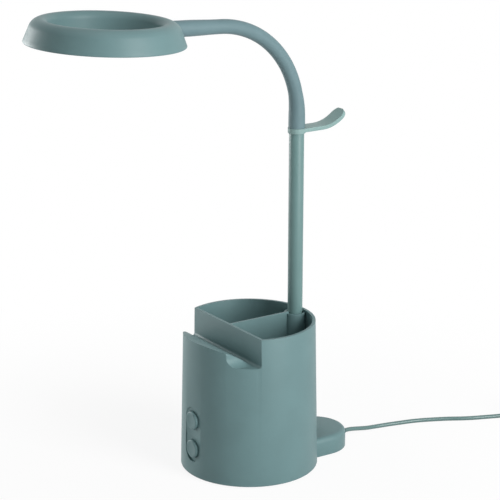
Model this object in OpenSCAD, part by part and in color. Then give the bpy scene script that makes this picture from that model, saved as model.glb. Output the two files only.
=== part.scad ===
// Work lamp with a pen-pot base, a phone ledge, a straight pole, a flexible gooseneck, a hook
// and a ring head. Millimetres, +Z up. The origin is on the desk, on the axis of the round base.
// -Y is the front, where the ledge and the buttons are; the pole stands at the back (+Y).

/* [Base] */
// Diameter of the base at the desk
base_d = 120; // [112:1:130]
// Diameter of the base at its rim
base_top_d = 114.2; // [106:0.2:118]
// Height of the rim above the desk
base_h = 132.3; // [122:0.1:150]
// Wall of the base moulding
base_wall = 2.6; // [2:0.1:3.2]
// Chamfer round the lower edge of the base
base_chamfer = 1.2; // [0.5:0.1:2]
// Thickness of the bottom plate
plate_t = 2.4; // [1.8:0.1:3]
// Thickness of the rubber pad below the bottom plate
pad_h = 1; // [0.6:0.1:2]
// Thickness of the steel counterweight
weight_t = 12; // [8:0.5:16]

/* [Compartments] */
// Height of the underside of the pen compartments' floor
pocket_floor_z = 34; // [32:0.5:44]
// Thickness of that floor
pocket_floor_t = 2.4; // [1.8:0.1:3]
// Distance of the upright front wall from the base's axis
front_wall_u = 22.9; // [18:0.1:26]
// Thickness of the upright front wall
front_wall_t = 2.4; // [1.8:0.1:3]
// Thickness of the divider between the compartments
divider_t = 1.8; // [1.4:0.1:2.6]
// How far the divider lies below the rim
divider_drop = 0.6; // [0.2:0.1:4]

/* [Ledge] */
// Depth of the ledge's groove below the rim
groove_drop = 25.3; // [20:0.1:30]
// Height of the lip above the groove
lip_rise = 16; // [12:0.1:19]
// Radius of the hollow corner between groove and upright wall
cove_r = 3; // [2:0.1:4]
// Radius of the domed slope from groove to lip
ledge_r = 67; // [55:1:90]
// Side of the cable scoop nearest the middle
scoop_x = 34.2; // [30:0.2:37]
// Radius of the scoop's upper corner
scoop_top_r = 6; // [3:0.5:8]
// Radius of the scoop's lower corner
scoop_low_r = 8.5; // [5:0.5:9]

/* [Buttons] */
// Diameter of each button
button_d = 16; // [13:0.5:17]
// Height of the lower button's centre
button_z = 25.5; // [24:0.5:27]
// Distance between the two buttons' centres
button_pitch = 26; // [22:0.5:28]
// Width of the oblong recess round the buttons
recess_w = 23; // [20:0.5:25]
// How far the recess's flat floor lies inside the base's foot
recess_inset = 2.4; // [1.8:0.1:2.8]
// How far the buttons stand out of the recess's floor
button_proud = 2.8; // [1.5:0.1:3.5]
// How far each button travels
button_travel = 0.8; // [0.4:0.1:1]

/* [Pole] */
// Outside diameter of the pole
pole_d = 13; // [11:0.5:14]
// Wall of the pole's tube
pole_wall = 1; // [0.8:0.1:1.5]
// Distance of the pole's axis from the back of the base's foot
pole_inset = 12; // [11.6:0.1:15]
// Height of the pole's upper end
pole_top_z = 300; // [280:1:340]
// Outside diameter of the round socket that the pole stands in
socket_d = 18.8; // [17.8:0.1:20]
// Wall of that socket
socket_wall = 1.95; // [1.6:0.05:2.2]
// How far the socket's mouth lies below the rim
socket_drop = 2; // [1:0.1:6]

/* [Gooseneck] */
// Outside diameter of the flexible neck
neck_d = 12.2; // [11:0.1:13]
// Diameter of the neck's lower end, where it covers the pole
sleeve_end_d = 14.3; // [14.1:0.1:15.5]
// Diameter of the neck's upper end, at the head
neck_end_d = 13.5; // [12.6:0.1:14]
// Height at which the bend begins
bend_z = 309; // [306:1:312]
// Radius of the bend at rest
bend_r = 80.5; // [78:0.5:92]
// Angle of the bend at rest
bend_angle = 87.07; // [84:0.01:90]
// Length of the stiff neck from the end of the bend to the middle of the head
neck_len = 108.8; // [104:0.2:118]

/* [Head] */
// Diameter of the head at its lower edge
head_d = 130.4; // [124:0.2:134]
// Height of the head
head_h = 19.2; // [18.6:0.1:22]
// Diameter of the opening at the head's lower edge
head_bore_d = 87; // [84:0.5:90]
// Diameter of the circle along the top of the ring
crest_d = 102; // [99:0.5:104]
// Outer rounding of the ring's top
crest_out_r = 9.75; // [8:0.25:10]
// Inner rounding of the ring's top
crest_in_r = 6; // [5:0.1:6.4]
// Wall of the head's housing
head_wall = 1.8; // [1.4:0.1:2]
// Height of the neck's axis above the head's lower edge
neck_in_head = 9; // [8.8:0.1:9.6]

/* [Hook] */
// Outside diameter of the hook's ring
hook_ring_d = 15.2; // [14.8:0.1:17]
// Height of the hook's ring
hook_ring_h = 4.4; // [4:0.1:8]
// Width of the hook's strap
hook_w = 15.2; // [12:0.1:17]
// Thickness of the hook's strap
hook_t = 3.3; // [2.4:0.1:4]
// Straight length of the strap, from the pole's axis
hook_flat = 22; // [16:0.5:34]
// Radius of the strap's upward curve, along its underside
hook_curve_r = 35; // [30:1:50]
// Angle through which the strap curves upwards
hook_turn = 50; // [40:1:70]

/* [Rear foot] */
// Half of the width of the cable housing behind the base
housing_r = 28.3; // [27:0.1:30]
// How far the middle of the housing's round end lies behind the base's foot
housing_back = 10; // [6:0.5:16]
// Height of the housing above the desk
housing_h = 17.7; // [16:0.1:22]
// Rounding of the housing's upper edge
housing_edge_r = 3.5; // [2:0.1:5]
// Wall of the housing
housing_wall = 2.4; // [1.8:0.1:3]

/* [Cord] */
// Diameter of the supply cord
cord_d = 3.8; // [3.4:0.1:3.9]
// Distance between the coil's turns
coil_pitch = 4.3; // [4.3:0.1:4.6]
// Turns in the coil
coil_turns = 9.36; // [9.2:0.01:9.6]
// Radius of the coil at the middle of its turns
coil_mid_r = 21.4; // [21:0.1:23]

/* [Hidden] */

$fn = 64;
plastic = "#6b8a8c";
steel = "#b9bcbe";
board_green = "#2f6b45";

fit = 0.05;          // radial clearance of a running or pushed fit
gap = 0.3;           // clearance between parts that must not rub
slit = 0.15;         // visible joint line between two mouldings
over = 1;            // how far a cut runs past the face that it opens

// Base
skirt_z = pad_h;
plate_top = skirt_z + plate_t;
plate_r = base_r(skirt_z) - base_wall - gap;
pocket_z = pocket_floor_z + pocket_floor_t;
inner_wall_u = front_wall_u - front_wall_t;
recess_u = base_d / 2 - recess_inset;
pad_inner_u = recess_u - 2.8;

// Ledge, as an outline seen from the side: first number forwards, second number up
groove = [front_wall_u + cove_r, base_h - groove_drop];
lip = [base_r(groove.y + lip_rise) + 0.3, groove.y + lip_rise];
ledge_c = arc_centre(groove, lip, ledge_r);

// Screws and their columns
base_screw_r = 1.5;
column_r = 4;
column_ring = base_r(plate_top) - base_wall - column_r - 2.5;
column_angles = [25, 155, 205, 335];
column_h = 22;
weight_r = column_ring - column_r - 0.9;
weight_front_y = 11.8 - pad_inner_u;
weight_screw_r = 2;
weight_screw_ring = 30;
weight_screw_angles = [90, 210, 330];
pad_r = plate_r - 2;
rear_pad_r = 6;
housing_y = base_d / 2 + housing_back;
rear_pad_y = housing_y + 14;
housing_screw_x = 17;

// Control board, seen from the front: the board stands upright behind the buttons
board_t = 1.6;
board_w = 34;
board_front_u = pad_inner_u - 7.2;
board_z = [8, button_z + button_pitch + 14.5];
standoff_x = 13.5;
standoff_z = button_z + button_pitch / 2;
standoff_r = 2.6;
board_screw_r = 1.1;
flange_t = 1.2;
flange_front_u = pad_inner_u - gap;
plunger_r = 1.6;
switch_w = 6;
switch_h = 3.5;
stem_end_u = board_front_u + switch_h + button_travel + 0.1;
plunger_len = stem_end_u - board_front_u - 2.3;

// Pole and its fixing
pole_y = base_d / 2 - pole_inset;
pole_r = pole_d / 2;
socket_bore_r = socket_d / 2 - socket_wall;
socket_seat_z = pocket_floor_z + 6;
pole_foot_z = 26;
collar_h = 4;
washer_t = 1;
nut_h = 5.5;
nut_r = pole_r + 3;
washer_r = nut_r * cos(30);
bush_z = [socket_seat_z + 20, base_h - 24];

// Gooseneck: hinges spread evenly along the bend
hinge_count = 9;
neck_r = neck_d / 2;
ball_r = neck_r + 0.05;
cup_r = ball_r + gap;
lead_bore_r = 2;
bend_c = [0, pole_y - bend_r, bend_z];
bend_end = arc_point(bend_angle);
neck_dir = [0, -sin(bend_angle), cos(bend_angle)];
head_tilt = 90 - bend_angle;
head_origin = bend_end + neck_len * neck_dir - neck_in_head * [0, sin(head_tilt), cos(head_tilt)];
neck_taper = 28;
spigot_r = 3.5;
spigot_end = neck_len - crest_d / 2;
nut_u = crest_d / 2 + 6.8;

// Head
crest_out_c = [crest_d / 2, head_h - crest_out_r];
crest_in_c = [crest_d / 2, head_h - crest_in_r];
rim_point = [head_d / 2, 0];
flank_angle = tangent_angle(rim_point, crest_out_c, crest_out_r);
diffuser_z = [0.6, 2.6];
led_board_z = [3.8, 5];
led_board_r = [bore_wall_x(led_board_z.y) + 1.3, flank_x(led_board_z.y) - 1.85];
led_ring_r = crest_d / 2 + 2.2;
led_count = 24;
led_notch_w = 10;
led_screw_angles = [-30, 210, 270];
led_screw_ring = led_board_r.x + 3.4;

// Hook
hook_z = [pole_top_z - 4.7 - hook_ring_h, pole_top_z - 4.7];
hook_curve_c = [0, pole_y + hook_flat, hook_z.y - hook_t + hook_curve_r];
hook_tip_turn = hook_w / 2 / hook_curve_r * 180 / PI;

// Cable housing
gland_z = 6;
gland_r = 3.4;
gland_flange_r = 4.6;
gland_back = 0.6;
housing_tip_y = housing_y + housing_r;
cord_exit = [0, housing_tip_y + 6.2, gland_z];

// Cord: route from the gland to the coil, one hand-chosen point a line or so
cord_r = cord_d / 2;
tie_t = 0.8;
coil_z = tie_t + 0.1 + cord_r;
route = [
    cord_exit, [0, 110, 6], [0, 116, 5.2], [0, 123, 4], [0, 131, 2.8], [0, 140, 2],
    [2, 152, cord_r], [5, 165, cord_r], [8, 177, cord_r], [12, 188, cord_r], [17, 199, cord_r],
    [22, 209, cord_r], [28, 219, cord_r], [33, 229, cord_r], [37, 239, cord_r], [41, 249, cord_r],
    [44, 258, cord_r], [46, 266, 2.2], [47, 273, 2.7], [47, 278, coil_z], [47, 282, coil_z]
];
coil_layers = 4;
layer_turns = coil_turns / coil_layers;
coil_in_r = coil_mid_r - layer_turns * coil_pitch / 2;
coil_out_r = coil_mid_r + layer_turns * coil_pitch / 2;
coil_centre = route[len(route) - 1] + [coil_out_r, cord_d, 0];
rings_per_turn = 24;
coil_rings = ceil(coil_turns * rings_per_turn);
coil_path = concat(
    [coil_at(0) - [0, cord_d, 0]],
    [for (i = [0 : coil_rings]) coil_at(coil_turns * i / coil_rings)],
    [coil_at(coil_turns) + cord_d * coil_heading(coil_turns)]
);
tail_start = coil_path[len(coil_path) - 1];
tail_dir = coil_heading(coil_turns);
plug_t = 8;
plug_w = 15.5;
plug_len = 32;
tail_drop = tail_start.z - plug_t / 2;
tail_route = [
    tail_start, tail_start + 4 * tail_dir, tail_start + 12 * tail_dir - [0, 0, 0.7],
    tail_start + 20 * tail_dir - [0, 0, 3.2], tail_start + 28 * tail_dir - [0, 0, 7],
    tail_start + 36 * tail_dir - [0, 0, 10.4], tail_start + 42 * tail_dir - [0, 0, tail_drop],
    tail_start + 48 * tail_dir - [0, 0, tail_drop]
];
tail_end = tail_route[len(tail_route) - 1];

echo("cord length, mm", path_length(route), path_length(coil_path), path_length(tail_route),
     path_length(route) + path_length(coil_path) + path_length(tail_route));
echo("least gap of the coil to itself, mm", coil_gap(coil_path, 16) - cord_d);

// Radius of the base's outside at a height above the desk
function base_r(z) = base_d / 2 - (base_d - base_top_d) / 2 * z / base_h;
// Centre of the arc of radius r from a to b that bulges upwards
function arc_centre(a, b, r) =
    let (d = b - a, n = [-d.y, d.x] / norm(d)) (a + b) / 2 - n * sqrt(r * r - d * d / 4);
// Angle, on a circle, of the point where a line from p touches its outer side
function tangent_angle(p, c, r) =
    let (d = p - c) atan2(d.y, d.x) + acos(r / norm(d));
// Point of the neck's centre line, a degrees along the bend
function arc_point(a) = bend_c + bend_r * [0, cos(a), sin(a)];
// Angle along the bend of hinge k, from 1 at the pole to hinge_count at the head
function hinge_angle(k) = bend_angle * (k - 0.5) / hinge_count;
// Share of the way up to the next layer, climbed in half a turn round each reversal
function climb(t) = min(max(0, 2 * (t - floor(t / layer_turns + 0.5) * layer_turns) + 0.5), 1);
// Layer of the coil at turn t, counted from 0 at the desk
function coil_layer(t) =
    let (k = floor(t / layer_turns + 0.5))
    k == 0 || k == coil_layers ? max(k - 1, 0) : k - 1 + climb(t);
// Radius of the coil at turn t: in, out, in and out again at a steady rate
function coil_radius(t) =
    let (s = t / layer_turns, k = floor(s), f = s - k)
    k % 2 == 0 ? coil_out_r - f * layer_turns * coil_pitch : coil_in_r + f * layer_turns * coil_pitch;
function coil_at(t) =
    let (a = 180 - 360 * t, r = coil_radius(t))
    [coil_centre.x + r * cos(a), coil_centre.y + r * sin(a), coil_z + coil_layer(t) * coil_pitch];
function coil_heading(t) = let (a = 180 - 360 * t) [sin(a), -cos(a), 0];
function unit(v) = v / norm(v);
function path_length(p) = sum([for (i = [1 : len(p) - 1]) norm(p[i] - p[i - 1])]);
function sum(v, i = 0) = i < len(v) ? v[i] + sum(v, i + 1) : 0;
// Least distance between points of a path that lie more than skip points apart
function coil_gap(p, skip) =
    min([for (i = [0 : len(p) - 1]) for (j = [i + skip : 1 : len(p) - 1]) norm(p[i] - p[j])]);
function path_dir(p, i) =
    i == 0 ? unit(p[1] - p[0])
    : i == len(p) - 1 ? unit(p[i] - p[i - 1])
    : unit(unit(p[i] - p[i - 1]) + unit(p[i + 1] - p[i]));

// A tube along a path that is never upright, as one closed surface of triangles
module tube(path, d, sides) {
    rings = [for (i = [0 : len(path) - 1])
        let (t = path_dir(path, i), s = unit(cross(t, [0, 0, 1])), u = cross(s, t))
        for (k = [0 : sides - 1])
            let (a = 360 * (k + 0.5) / sides) path[i] + d / 2 * (s * cos(a) + u * sin(a))];
    last = (len(path) - 1) * sides;
    side_faces = [for (i = [0 : len(path) - 2]) for (k = [0 : sides - 1])
        let (a = i * sides + k, b = i * sides + (k + 1) % sides)
        for (face = [[a, b, b + sides], [a, b + sides, a + sides]]) face];
    start_cap = [for (k = [1 : sides - 2]) [0, k + 1, k]];
    end_cap = [for (k = [1 : sides - 2]) [last, last + k, last + k + 1]];
    polyhedron(rings, concat(side_faces, start_cap, end_cap), convexity = 10);
}

// A drawing of forward and upward distances, pushed w wide across the lamp
module across(w) {
    rotate([90, 0, -90]) linear_extrude(w, center = true) children();
}

// A drawing of the front, pushed from u0 to u1 forwards of the base's axis
module forwards(u0, u1) {
    rotate([90, 0, 0]) translate([0, 0, u0]) linear_extrude(u1 - u0) children();
}

module base_cone(grow, z0, z1) {
    translate([0, 0, z0])
        cylinder(h = z1 - z0, r1 = base_r(z0) + grow, r2 = base_r(z1) + grow, $fn = 128);
}

module at_columns() {
    for (a = column_angles) rotate([0, 0, a]) translate([column_ring, 0, 0]) children();
}

module at_buttons() {
    for (z = [button_z, button_z + button_pitch]) translate([0, z]) children();
}

// A countersunk screw that points up, with its head's face at the origin
module countersunk(r, length, head_r) {
    cylinder(h = head_r - r, r1 = head_r, r2 = r, $fn = 24);
    cylinder(h = length, r = r, $fn = 24);
}

module pan_screw(r, length, head_r, head_h) {
    translate([0, 0, -head_h]) cylinder(h = head_h, r = head_r, $fn = 24);
    cylinder(h = length, r = r, $fn = 24);
}

// A wire with round corners through a list of points
module wire(points, r, ball_turn = [0, 0, 0]) {
    for (i = [1 : len(points) - 1]) {
        run = points[i] - points[i - 1];
        turn = acos(run.z / norm(run));
        translate(points[i - 1]) rotate([0, turn, atan2(run.y, run.x)])
            cylinder(h = norm(run), r = r, $fn = 24);
        if (i < len(points) - 1)
            translate(points[i]) rotate(ball_turn) sphere(r = r + 0.25, $fn = 24);
    }
}

// ---- Base ----

module ledge_cut() {
    across(2 * base_d) difference() {
        translate([front_wall_u, groove.y]) square([base_d, base_h]);
        translate(ledge_c) circle(r = ledge_r, $fn = 128);
        difference() {
            translate([front_wall_u, groove.y]) square(cove_r);
            translate([front_wall_u + cove_r, groove.y + cove_r]) circle(r = cove_r);
        }
    }
}

module scoop_cut() {
    scoop_z = groove.y + 0.1;
    forwards(groove.x - 0.5, base_d) difference() {
        translate([scoop_x - scoop_top_r, scoop_z]) square([base_d, base_h]);
        translate([scoop_x - scoop_top_r, lip.y - scoop_top_r]) circle(r = scoop_top_r);
        square([scoop_x, lip.y - scoop_top_r]);
        difference() {
            translate([scoop_x - over, scoop_z]) square([scoop_low_r + over, scoop_low_r]);
            translate([scoop_x + scoop_low_r, scoop_z + scoop_low_r]) circle(r = scoop_low_r);
        }
    }
}

// Space below the compartments and, in front of them, up to the ledge
module chamber() {
    difference() {
        intersection() {
            base_cone(-base_wall, skirt_z - over, lip.y);
            across(base_d) {
                intersection() {
                    translate(ledge_c) circle(r = ledge_r - base_wall, $fn = 128);
                    translate([front_wall_u, 0]) square([base_d, base_h]);
                }
                translate([front_wall_u, 0]) square([base_d, ledge_c.y]);
                translate([-base_d, 0]) square([2 * base_d, pocket_floor_z]);
            }
        }
        translate([scoop_x - base_wall, -base_d, groove.y - base_wall]) cube(2 * base_d);
        at_columns() translate([0, 0, plate_top]) {
            cylinder(h = column_h - plate_top, r = column_r);
            translate([0, -1.5, 0]) cube([2 * column_r, 3, column_h - plate_top]);
        }
        button_pad();
    }
}

// Flat inner face behind the button recess, with the board's two standoffs
module button_pad() {
    pad_x = recess_w / 2 + 3.5;
    pad_top = button_z + button_pitch + recess_w / 2 + 2.5;
    translate([-pad_x, -base_d, button_z - recess_w / 2 - 3]) {
        cube([2 * pad_x, base_d - pad_inner_u, pad_top - button_z + recess_w / 2 + 3]);
    }
    forwards(board_front_u, pad_inner_u + over)
        for (x = [-standoff_x, standoff_x]) translate([x, standoff_z]) circle(r = standoff_r);
}

module recess_outline() {
    at_buttons() circle(d = recess_w);
    translate([-recess_w / 2, button_z]) square([recess_w, button_pitch]);
}

module compartments() {
    difference() {
        intersection() {
            base_cone(-base_wall, pocket_z, base_h + over);
            translate([-base_d, -inner_wall_u, 0]) cube(2 * base_d);
        }
        translate([-divider_t / 2, -base_d, 0]) cube([divider_t, 2 * base_d, base_h - divider_drop]);
        translate([0, pole_y, 0]) cylinder(h = base_h - socket_drop, d = socket_d);
    }
}

// Window through the back of the skirt, for the plate's tongue and the lead
module housing_window() {
    half = housing_r - housing_wall;
    translate([-half, base_d / 4, skirt_z - over]) cube([2 * half, base_d / 2, 13]);
}

module base_body() {
    color(plastic) difference() {
        rotate_extrude($fn = 128) polygon([
            [0, skirt_z], [base_r(skirt_z) - base_chamfer, skirt_z],
            [base_r(skirt_z + base_chamfer), skirt_z + base_chamfer],
            [base_r(base_h), base_h], [0, base_h]
        ]);
        ledge_cut();
        scoop_cut();
        chamber();
        compartments();
        housing_window();
        translate([0, pole_y, socket_seat_z]) cylinder(h = base_h, r = socket_bore_r);
        translate([0, pole_y, 0]) cylinder(h = base_h, r = pole_r + fit);
        at_columns() cylinder(h = column_h - 3, r = base_screw_r, $fn = 24);
        forwards(recess_u, base_d) recess_outline();
        forwards(pad_inner_u - over, base_d) at_buttons() circle(r = button_d / 2 + gap);
        forwards(board_front_u - over, pad_inner_u - over)
            for (x = [-standoff_x, standoff_x]) translate([x, standoff_z]) circle(r = board_screw_r);
    }
}

module plate_outline() {
    tongue_r = housing_r - housing_wall - gap;
    circle(r = plate_r, $fn = 128);
    translate([-tongue_r, 0]) square([2 * tongue_r, housing_y]);
    translate([0, housing_y]) circle(r = tongue_r);
}

module base_plate() {
    color("#4d6466") difference() {
        translate([0, 0, skirt_z]) linear_extrude(plate_t) plate_outline();
        translate([-gland_flange_r - 1, housing_tip_y - housing_wall - 5, 0])
            cube([2 * gland_flange_r + 2, 10, 2 * plate_top]);
        translate([0, 0, skirt_z]) {
            at_columns() countersunk(base_screw_r + fit, 2 * plate_t, 2 * base_screw_r + fit);
            at_weight_screws() countersunk(weight_screw_r + fit, 2 * plate_t, 3.8 + fit);
            at_housing_screws() countersunk(base_screw_r + fit, 2 * plate_t, 2 * base_screw_r + fit);
        }
    }
}

module at_weight_screws() {
    for (a = weight_screw_angles) rotate([0, 0, a]) translate([weight_screw_ring, 0, 0]) children();
}

module at_housing_screws() {
    for (x = [-housing_screw_x, housing_screw_x]) translate([x, housing_y, 0]) children();
}

module counterweight() {
    color(steel) difference() {
        translate([0, 0, plate_top]) cylinder(h = weight_t, r = weight_r, $fn = 128);
        translate([-base_d, weight_front_y - 2 * base_d, 0]) cube(2 * base_d);
        translate([0, 0, plate_top - over])
            at_weight_screws() cylinder(h = over + 8, r = weight_screw_r + fit, $fn = 24);
    }
}

module weight_screws() {
    color(steel) translate([0, 0, skirt_z])
        at_weight_screws() countersunk(weight_screw_r, plate_t + 7.5, 3.8);
}

module base_screws() {
    color(steel) translate([0, 0, skirt_z])
        at_columns() countersunk(base_screw_r - fit, 12, 2 * base_screw_r);
}

// A disc that hides the screws, and a small one below the cable housing
module rubber_pad() {
    color("#2c2f30") cylinder(h = pad_h, r = pad_r, $fn = 128);
}

module rear_pad() {
    color("#2c2f30") translate([0, rear_pad_y, 0]) cylinder(h = pad_h, r = rear_pad_r);
}

// ---- Cable housing behind the base ----

// Half of the housing's section, with its upper edge rounded, for a housing smaller by inset
module housing_section(inset, z0) {
    r = housing_r - inset;
    top = housing_h - inset;
    edge = max(housing_edge_r - inset, 0.5);
    translate([0, z0]) square([r, top - edge - z0]);
    translate([0, top - edge - slit]) square([r - edge, edge + slit]);
    intersection() {
        translate([r - edge, top - edge]) circle(r = edge);
        translate([r - edge - slit, top - edge - slit]) square(2 * edge);
    }
}

module housing_solid(inset, z0) {
    translate([0, housing_y, 0]) rotate_extrude($fn = 96) housing_section(inset, z0);
    translate([0, housing_y, 0]) rotate([90, 0, 0]) linear_extrude(housing_y - 30) {
        housing_section(inset, z0);
        mirror([1, 0]) housing_section(inset, z0);
    }
}

module cable_housing() {
    color(plastic) difference() {
        housing_solid(0, skirt_z);
        difference() {
            housing_solid(housing_wall, skirt_z - over);
            at_housing_screws() cylinder(h = housing_h, r = column_r - 0.5);
        }
        translate([0, 0, plate_top - base_d])
            at_housing_screws() cylinder(h = base_d, r = column_r);
        at_housing_screws() cylinder(h = housing_h - 4, r = base_screw_r, $fn = 24);
        base_cone(slit, 0, base_h);
        translate([0, housing_y, gland_z]) rotate([-90, 0, 0])
            cylinder(h = base_d, r = gland_r + fit);
    }
}

module housing_screws() {
    color(steel) translate([0, 0, skirt_z])
        at_housing_screws() countersunk(base_screw_r - fit, 10, 2 * base_screw_r);
}

// Strain relief: a flange inside the housing, a neck through its wall and a taper outside
module cord_gland() {
    inner_y = housing_tip_y - housing_wall;
    color("#55706f") translate([0, inner_y, gland_z]) rotate([-90, 0, 0]) {
        translate([0, 0, -3 - gland_back]) cylinder(h = 3, r = gland_flange_r);
        translate([0, 0, -gland_back - fit])
            cylinder(h = housing_wall + gland_back + 1.2, r = gland_r);
        translate([0, 0, housing_wall + 1.1])
            cylinder(h = cord_exit.y - housing_tip_y - 1.1, r1 = gland_r, r2 = cord_r + 0.5);
    }
}

// Cord inside the lamp, from the gland over the counterweight to the control board
module supply_lead() {
    lead_r = 1.6;
    start_y = housing_tip_y - housing_wall - gland_back - 3;
    color("#3c4748") wire([
        [0, start_y, gland_z], [0, housing_y + 8, gland_z], [7, base_d / 2, 9.5],
        [9.2, pole_y - 7, 20.4], [8, -board_front_u + board_t, 20]
    ], lead_r, [79, 0, 0]);
}

// ---- Controls ----

module control_board() {
    color(board_green) forwards(board_front_u - board_t, board_front_u) difference() {
        translate([-board_w / 2, board_z.x]) square([board_w, board_z.y - board_z.x]);
        for (x = [-standoff_x, standoff_x])
            translate([x, standoff_z]) circle(r = board_screw_r + fit);
    }
}

module board_screws() {
    color(steel) for (x = [-standoff_x, standoff_x])
        translate([x, -board_front_u + board_t, standoff_z]) rotate([90, 0, 0])
            pan_screw(board_screw_r - fit, 6, 2.1, 1.4);
}

module switch_bodies() {
    color("#2b2b2d") forwards(board_front_u, board_front_u + switch_h) at_buttons()
        difference() {
            square(switch_w, center = true);
            circle(r = plunger_r + gap);
        }
}

module button(z) {
    color(plastic) {
        forwards(flange_front_u, recess_u + button_proud) translate([0, z]) circle(d = button_d);
        forwards(flange_front_u - flange_t, flange_front_u)
            translate([0, z]) circle(r = button_d / 2 + 1.4);
        forwards(stem_end_u, flange_front_u - flange_t + slit) translate([0, z]) circle(r = 2.5);
    }
}

module plunger(z) {
    color("#d8d8d4") forwards(stem_end_u - plunger_len, stem_end_u)
        translate([0, z]) circle(r = plunger_r, $fn = 24);
}

module power_button() {
    button(button_z + button_pitch);
}

module power_plunger() {
    plunger(button_z + button_pitch);
}

module dimmer_button() {
    button(button_z);
}

module dimmer_plunger() {
    plunger(button_z);
}

// ---- Pole ----

module ring(z0, z1, r_out, r_in) {
    translate([0, pole_y, z0]) difference() {
        cylinder(h = z1 - z0, r = r_out);
        translate([0, 0, -over]) cylinder(h = z1 - z0 + 2 * over, r = r_in);
    }
}

module pole() {
    color(plastic) ring(pole_foot_z, pole_top_z, pole_r, pole_r - pole_wall);
}

module pole_bush() {
    color("#444a4b") ring(bush_z.x, bush_z.y, socket_bore_r - fit, pole_r + fit);
}

module pole_collar() {
    color(steel) ring(socket_seat_z, socket_seat_z + collar_h, socket_bore_r - 2 * fit, pole_r + fit);
}

module pole_washer() {
    color(steel) ring(pocket_floor_z - washer_t, pocket_floor_z, washer_r, pole_r + fit);
}

module pole_nut() {
    top = pocket_floor_z - washer_t;
    color(steel) translate([0, pole_y, top - nut_h]) difference() {
        cylinder(h = nut_h, r = nut_r, $fn = 6);
        translate([0, 0, -over]) cylinder(h = nut_h + 2 * over, r = pole_r + fit);
    }
}

module pole_lead() {
    color("#3c4748") wire([
        [-8, -board_front_u + board_t, 24], [-8, -20, 21], [-6, 30, 21], [0, pole_y, 22],
        [0, pole_y, pole_top_z + 6]
    ], 1.5);
}

// ---- Hook ----

// Side view of the strap: straight from the ring, then curving up
module hook_profile() {
    translate([0, hook_z.y - hook_t]) square([hook_flat, hook_t]);
    translate([hook_flat, hook_z.y - hook_t + hook_curve_r]) intersection() {
        difference() {
            circle(r = hook_curve_r, $fn = 128);
            circle(r = hook_curve_r - hook_t, $fn = 128);
        }
        polygon([
            [0, 0], [0, -2 * hook_curve_r],
            2 * hook_curve_r * [1, -2], 2 * hook_curve_r * [sin(hook_turn), -cos(hook_turn)]
        ]);
    }
}

// What the strap's round tip leaves of its last square length
module hook_tip_cut() {
    translate(hook_curve_c) rotate([hook_turn - hook_tip_turn, 0, 0])
        translate([0, 0, -hook_curve_r - over]) difference() {
            translate([-hook_w, 0, -over]) cube([2 * hook_w, hook_w, 2 * hook_t + over]);
            translate([0, 0, -2 * over]) cylinder(h = 3 * hook_t + over, d = hook_w);
        }
}

module headphone_hook() {
    color("#7f9c9d") difference() {
        union() {
            translate([0, pole_y, hook_z.x]) cylinder(h = hook_ring_h, d = hook_ring_d);
            translate([0, pole_y, 0]) rotate([90, 0, 90])
                linear_extrude(hook_w, center = true) hook_profile();
        }
        hook_tip_cut();
        translate([0, pole_y, 0]) cylinder(h = pole_top_z + 20, r = pole_r + fit);
    }
}

// ---- Gooseneck ----

// A round bar along the bend, between two angles
module bend_bar(a0, a1, r) {
    translate(bend_c) rotate([90, 0, 90]) rotate([0, 0, a0])
        rotate_extrude(angle = a1 - a0, $fn = 128) translate([bend_r, 0]) circle(r = r);
}

module hinge_ball(k, r) {
    translate(arc_point(hinge_angle(k))) sphere(r = r);
}

// The neck's lower end: a plug in the pole, a flared cover and the first ball
module sleeve_end() {
    start = hook_z.y + slit;
    end_r = sleeve_end_d / 2;
    first = hinge_angle(1);
    color(plastic) difference() {
        union() {
            difference() {
                union() {
                    translate([0, pole_y, start]) cylinder(h = pole_top_z - start, r = end_r);
                    translate([0, pole_y, pole_top_z])
                        cylinder(h = bend_z - 1 - pole_top_z, r1 = end_r, r2 = end_r - 0.1);
                    translate([0, pole_y, bend_z - 1])
                        cylinder(h = 6, r1 = end_r - 0.1, r2 = end_r - 0.35);
                    bend_bar(0, first, neck_r);
                    hinge_ball(1, ball_r);
                }
                translate([0, pole_y, 0]) cylinder(h = pole_top_z + slit, r = pole_r + fit);
            }
            translate([0, pole_y, pole_top_z - 22])
                cylinder(h = 22 + over, r = pole_r - pole_wall - fit);
        }
        translate([0, pole_y, pole_top_z - 30])
            cylinder(h = bend_z - pole_top_z + 30, r = lead_bore_r + 0.1);
        bend_bar(-0.5, first + 6, lead_bore_r);
    }
}

// One stiff length of the flexible neck: hollow at its lower end, a ball at its upper end
module neck_link(k) {
    color(plastic) difference() {
        union() {
            bend_bar(hinge_angle(k), hinge_angle(k + 1), neck_r);
            hinge_ball(k + 1, ball_r);
        }
        hinge_ball(k, cup_r);
        bend_bar(hinge_angle(k) - 1, hinge_angle(k + 1) + 6, lead_bore_r);
    }
}

module along_neck() {
    translate(bend_end) rotate([bend_angle, 0, 0]) children();
}

// The neck's upper end: from the last hinge to the head, with a threaded spigot
module neck_end() {
    last = hinge_angle(hinge_count);
    color(plastic) difference() {
        union() {
            bend_bar(last, bend_angle, neck_r);
            along_neck() translate([0, 0, -slit])
                cylinder(h = neck_taper + slit, r1 = ball_r, r2 = neck_end_d / 2);
            difference() {
                along_neck() translate([0, 0, neck_taper])
                    cylinder(h = spigot_end - neck_taper, d = neck_end_d);
                at_head() rotate_extrude($fn = 128) head_section(-slit);
            }
            along_neck() translate([0, 0, neck_taper]) cylinder(h = spigot_end - neck_taper, r = spigot_r);
        }
        hinge_ball(hinge_count, cup_r);
        bend_bar(last - 1, bend_angle, lead_bore_r);
        along_neck() translate([0, 0, -slit]) cylinder(h = neck_len, r = lead_bore_r + 0.1);
    }
}

// ---- Head ----

module at_head() {
    translate(head_origin) rotate([-head_tilt, 0, 0]) children();
}

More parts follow.
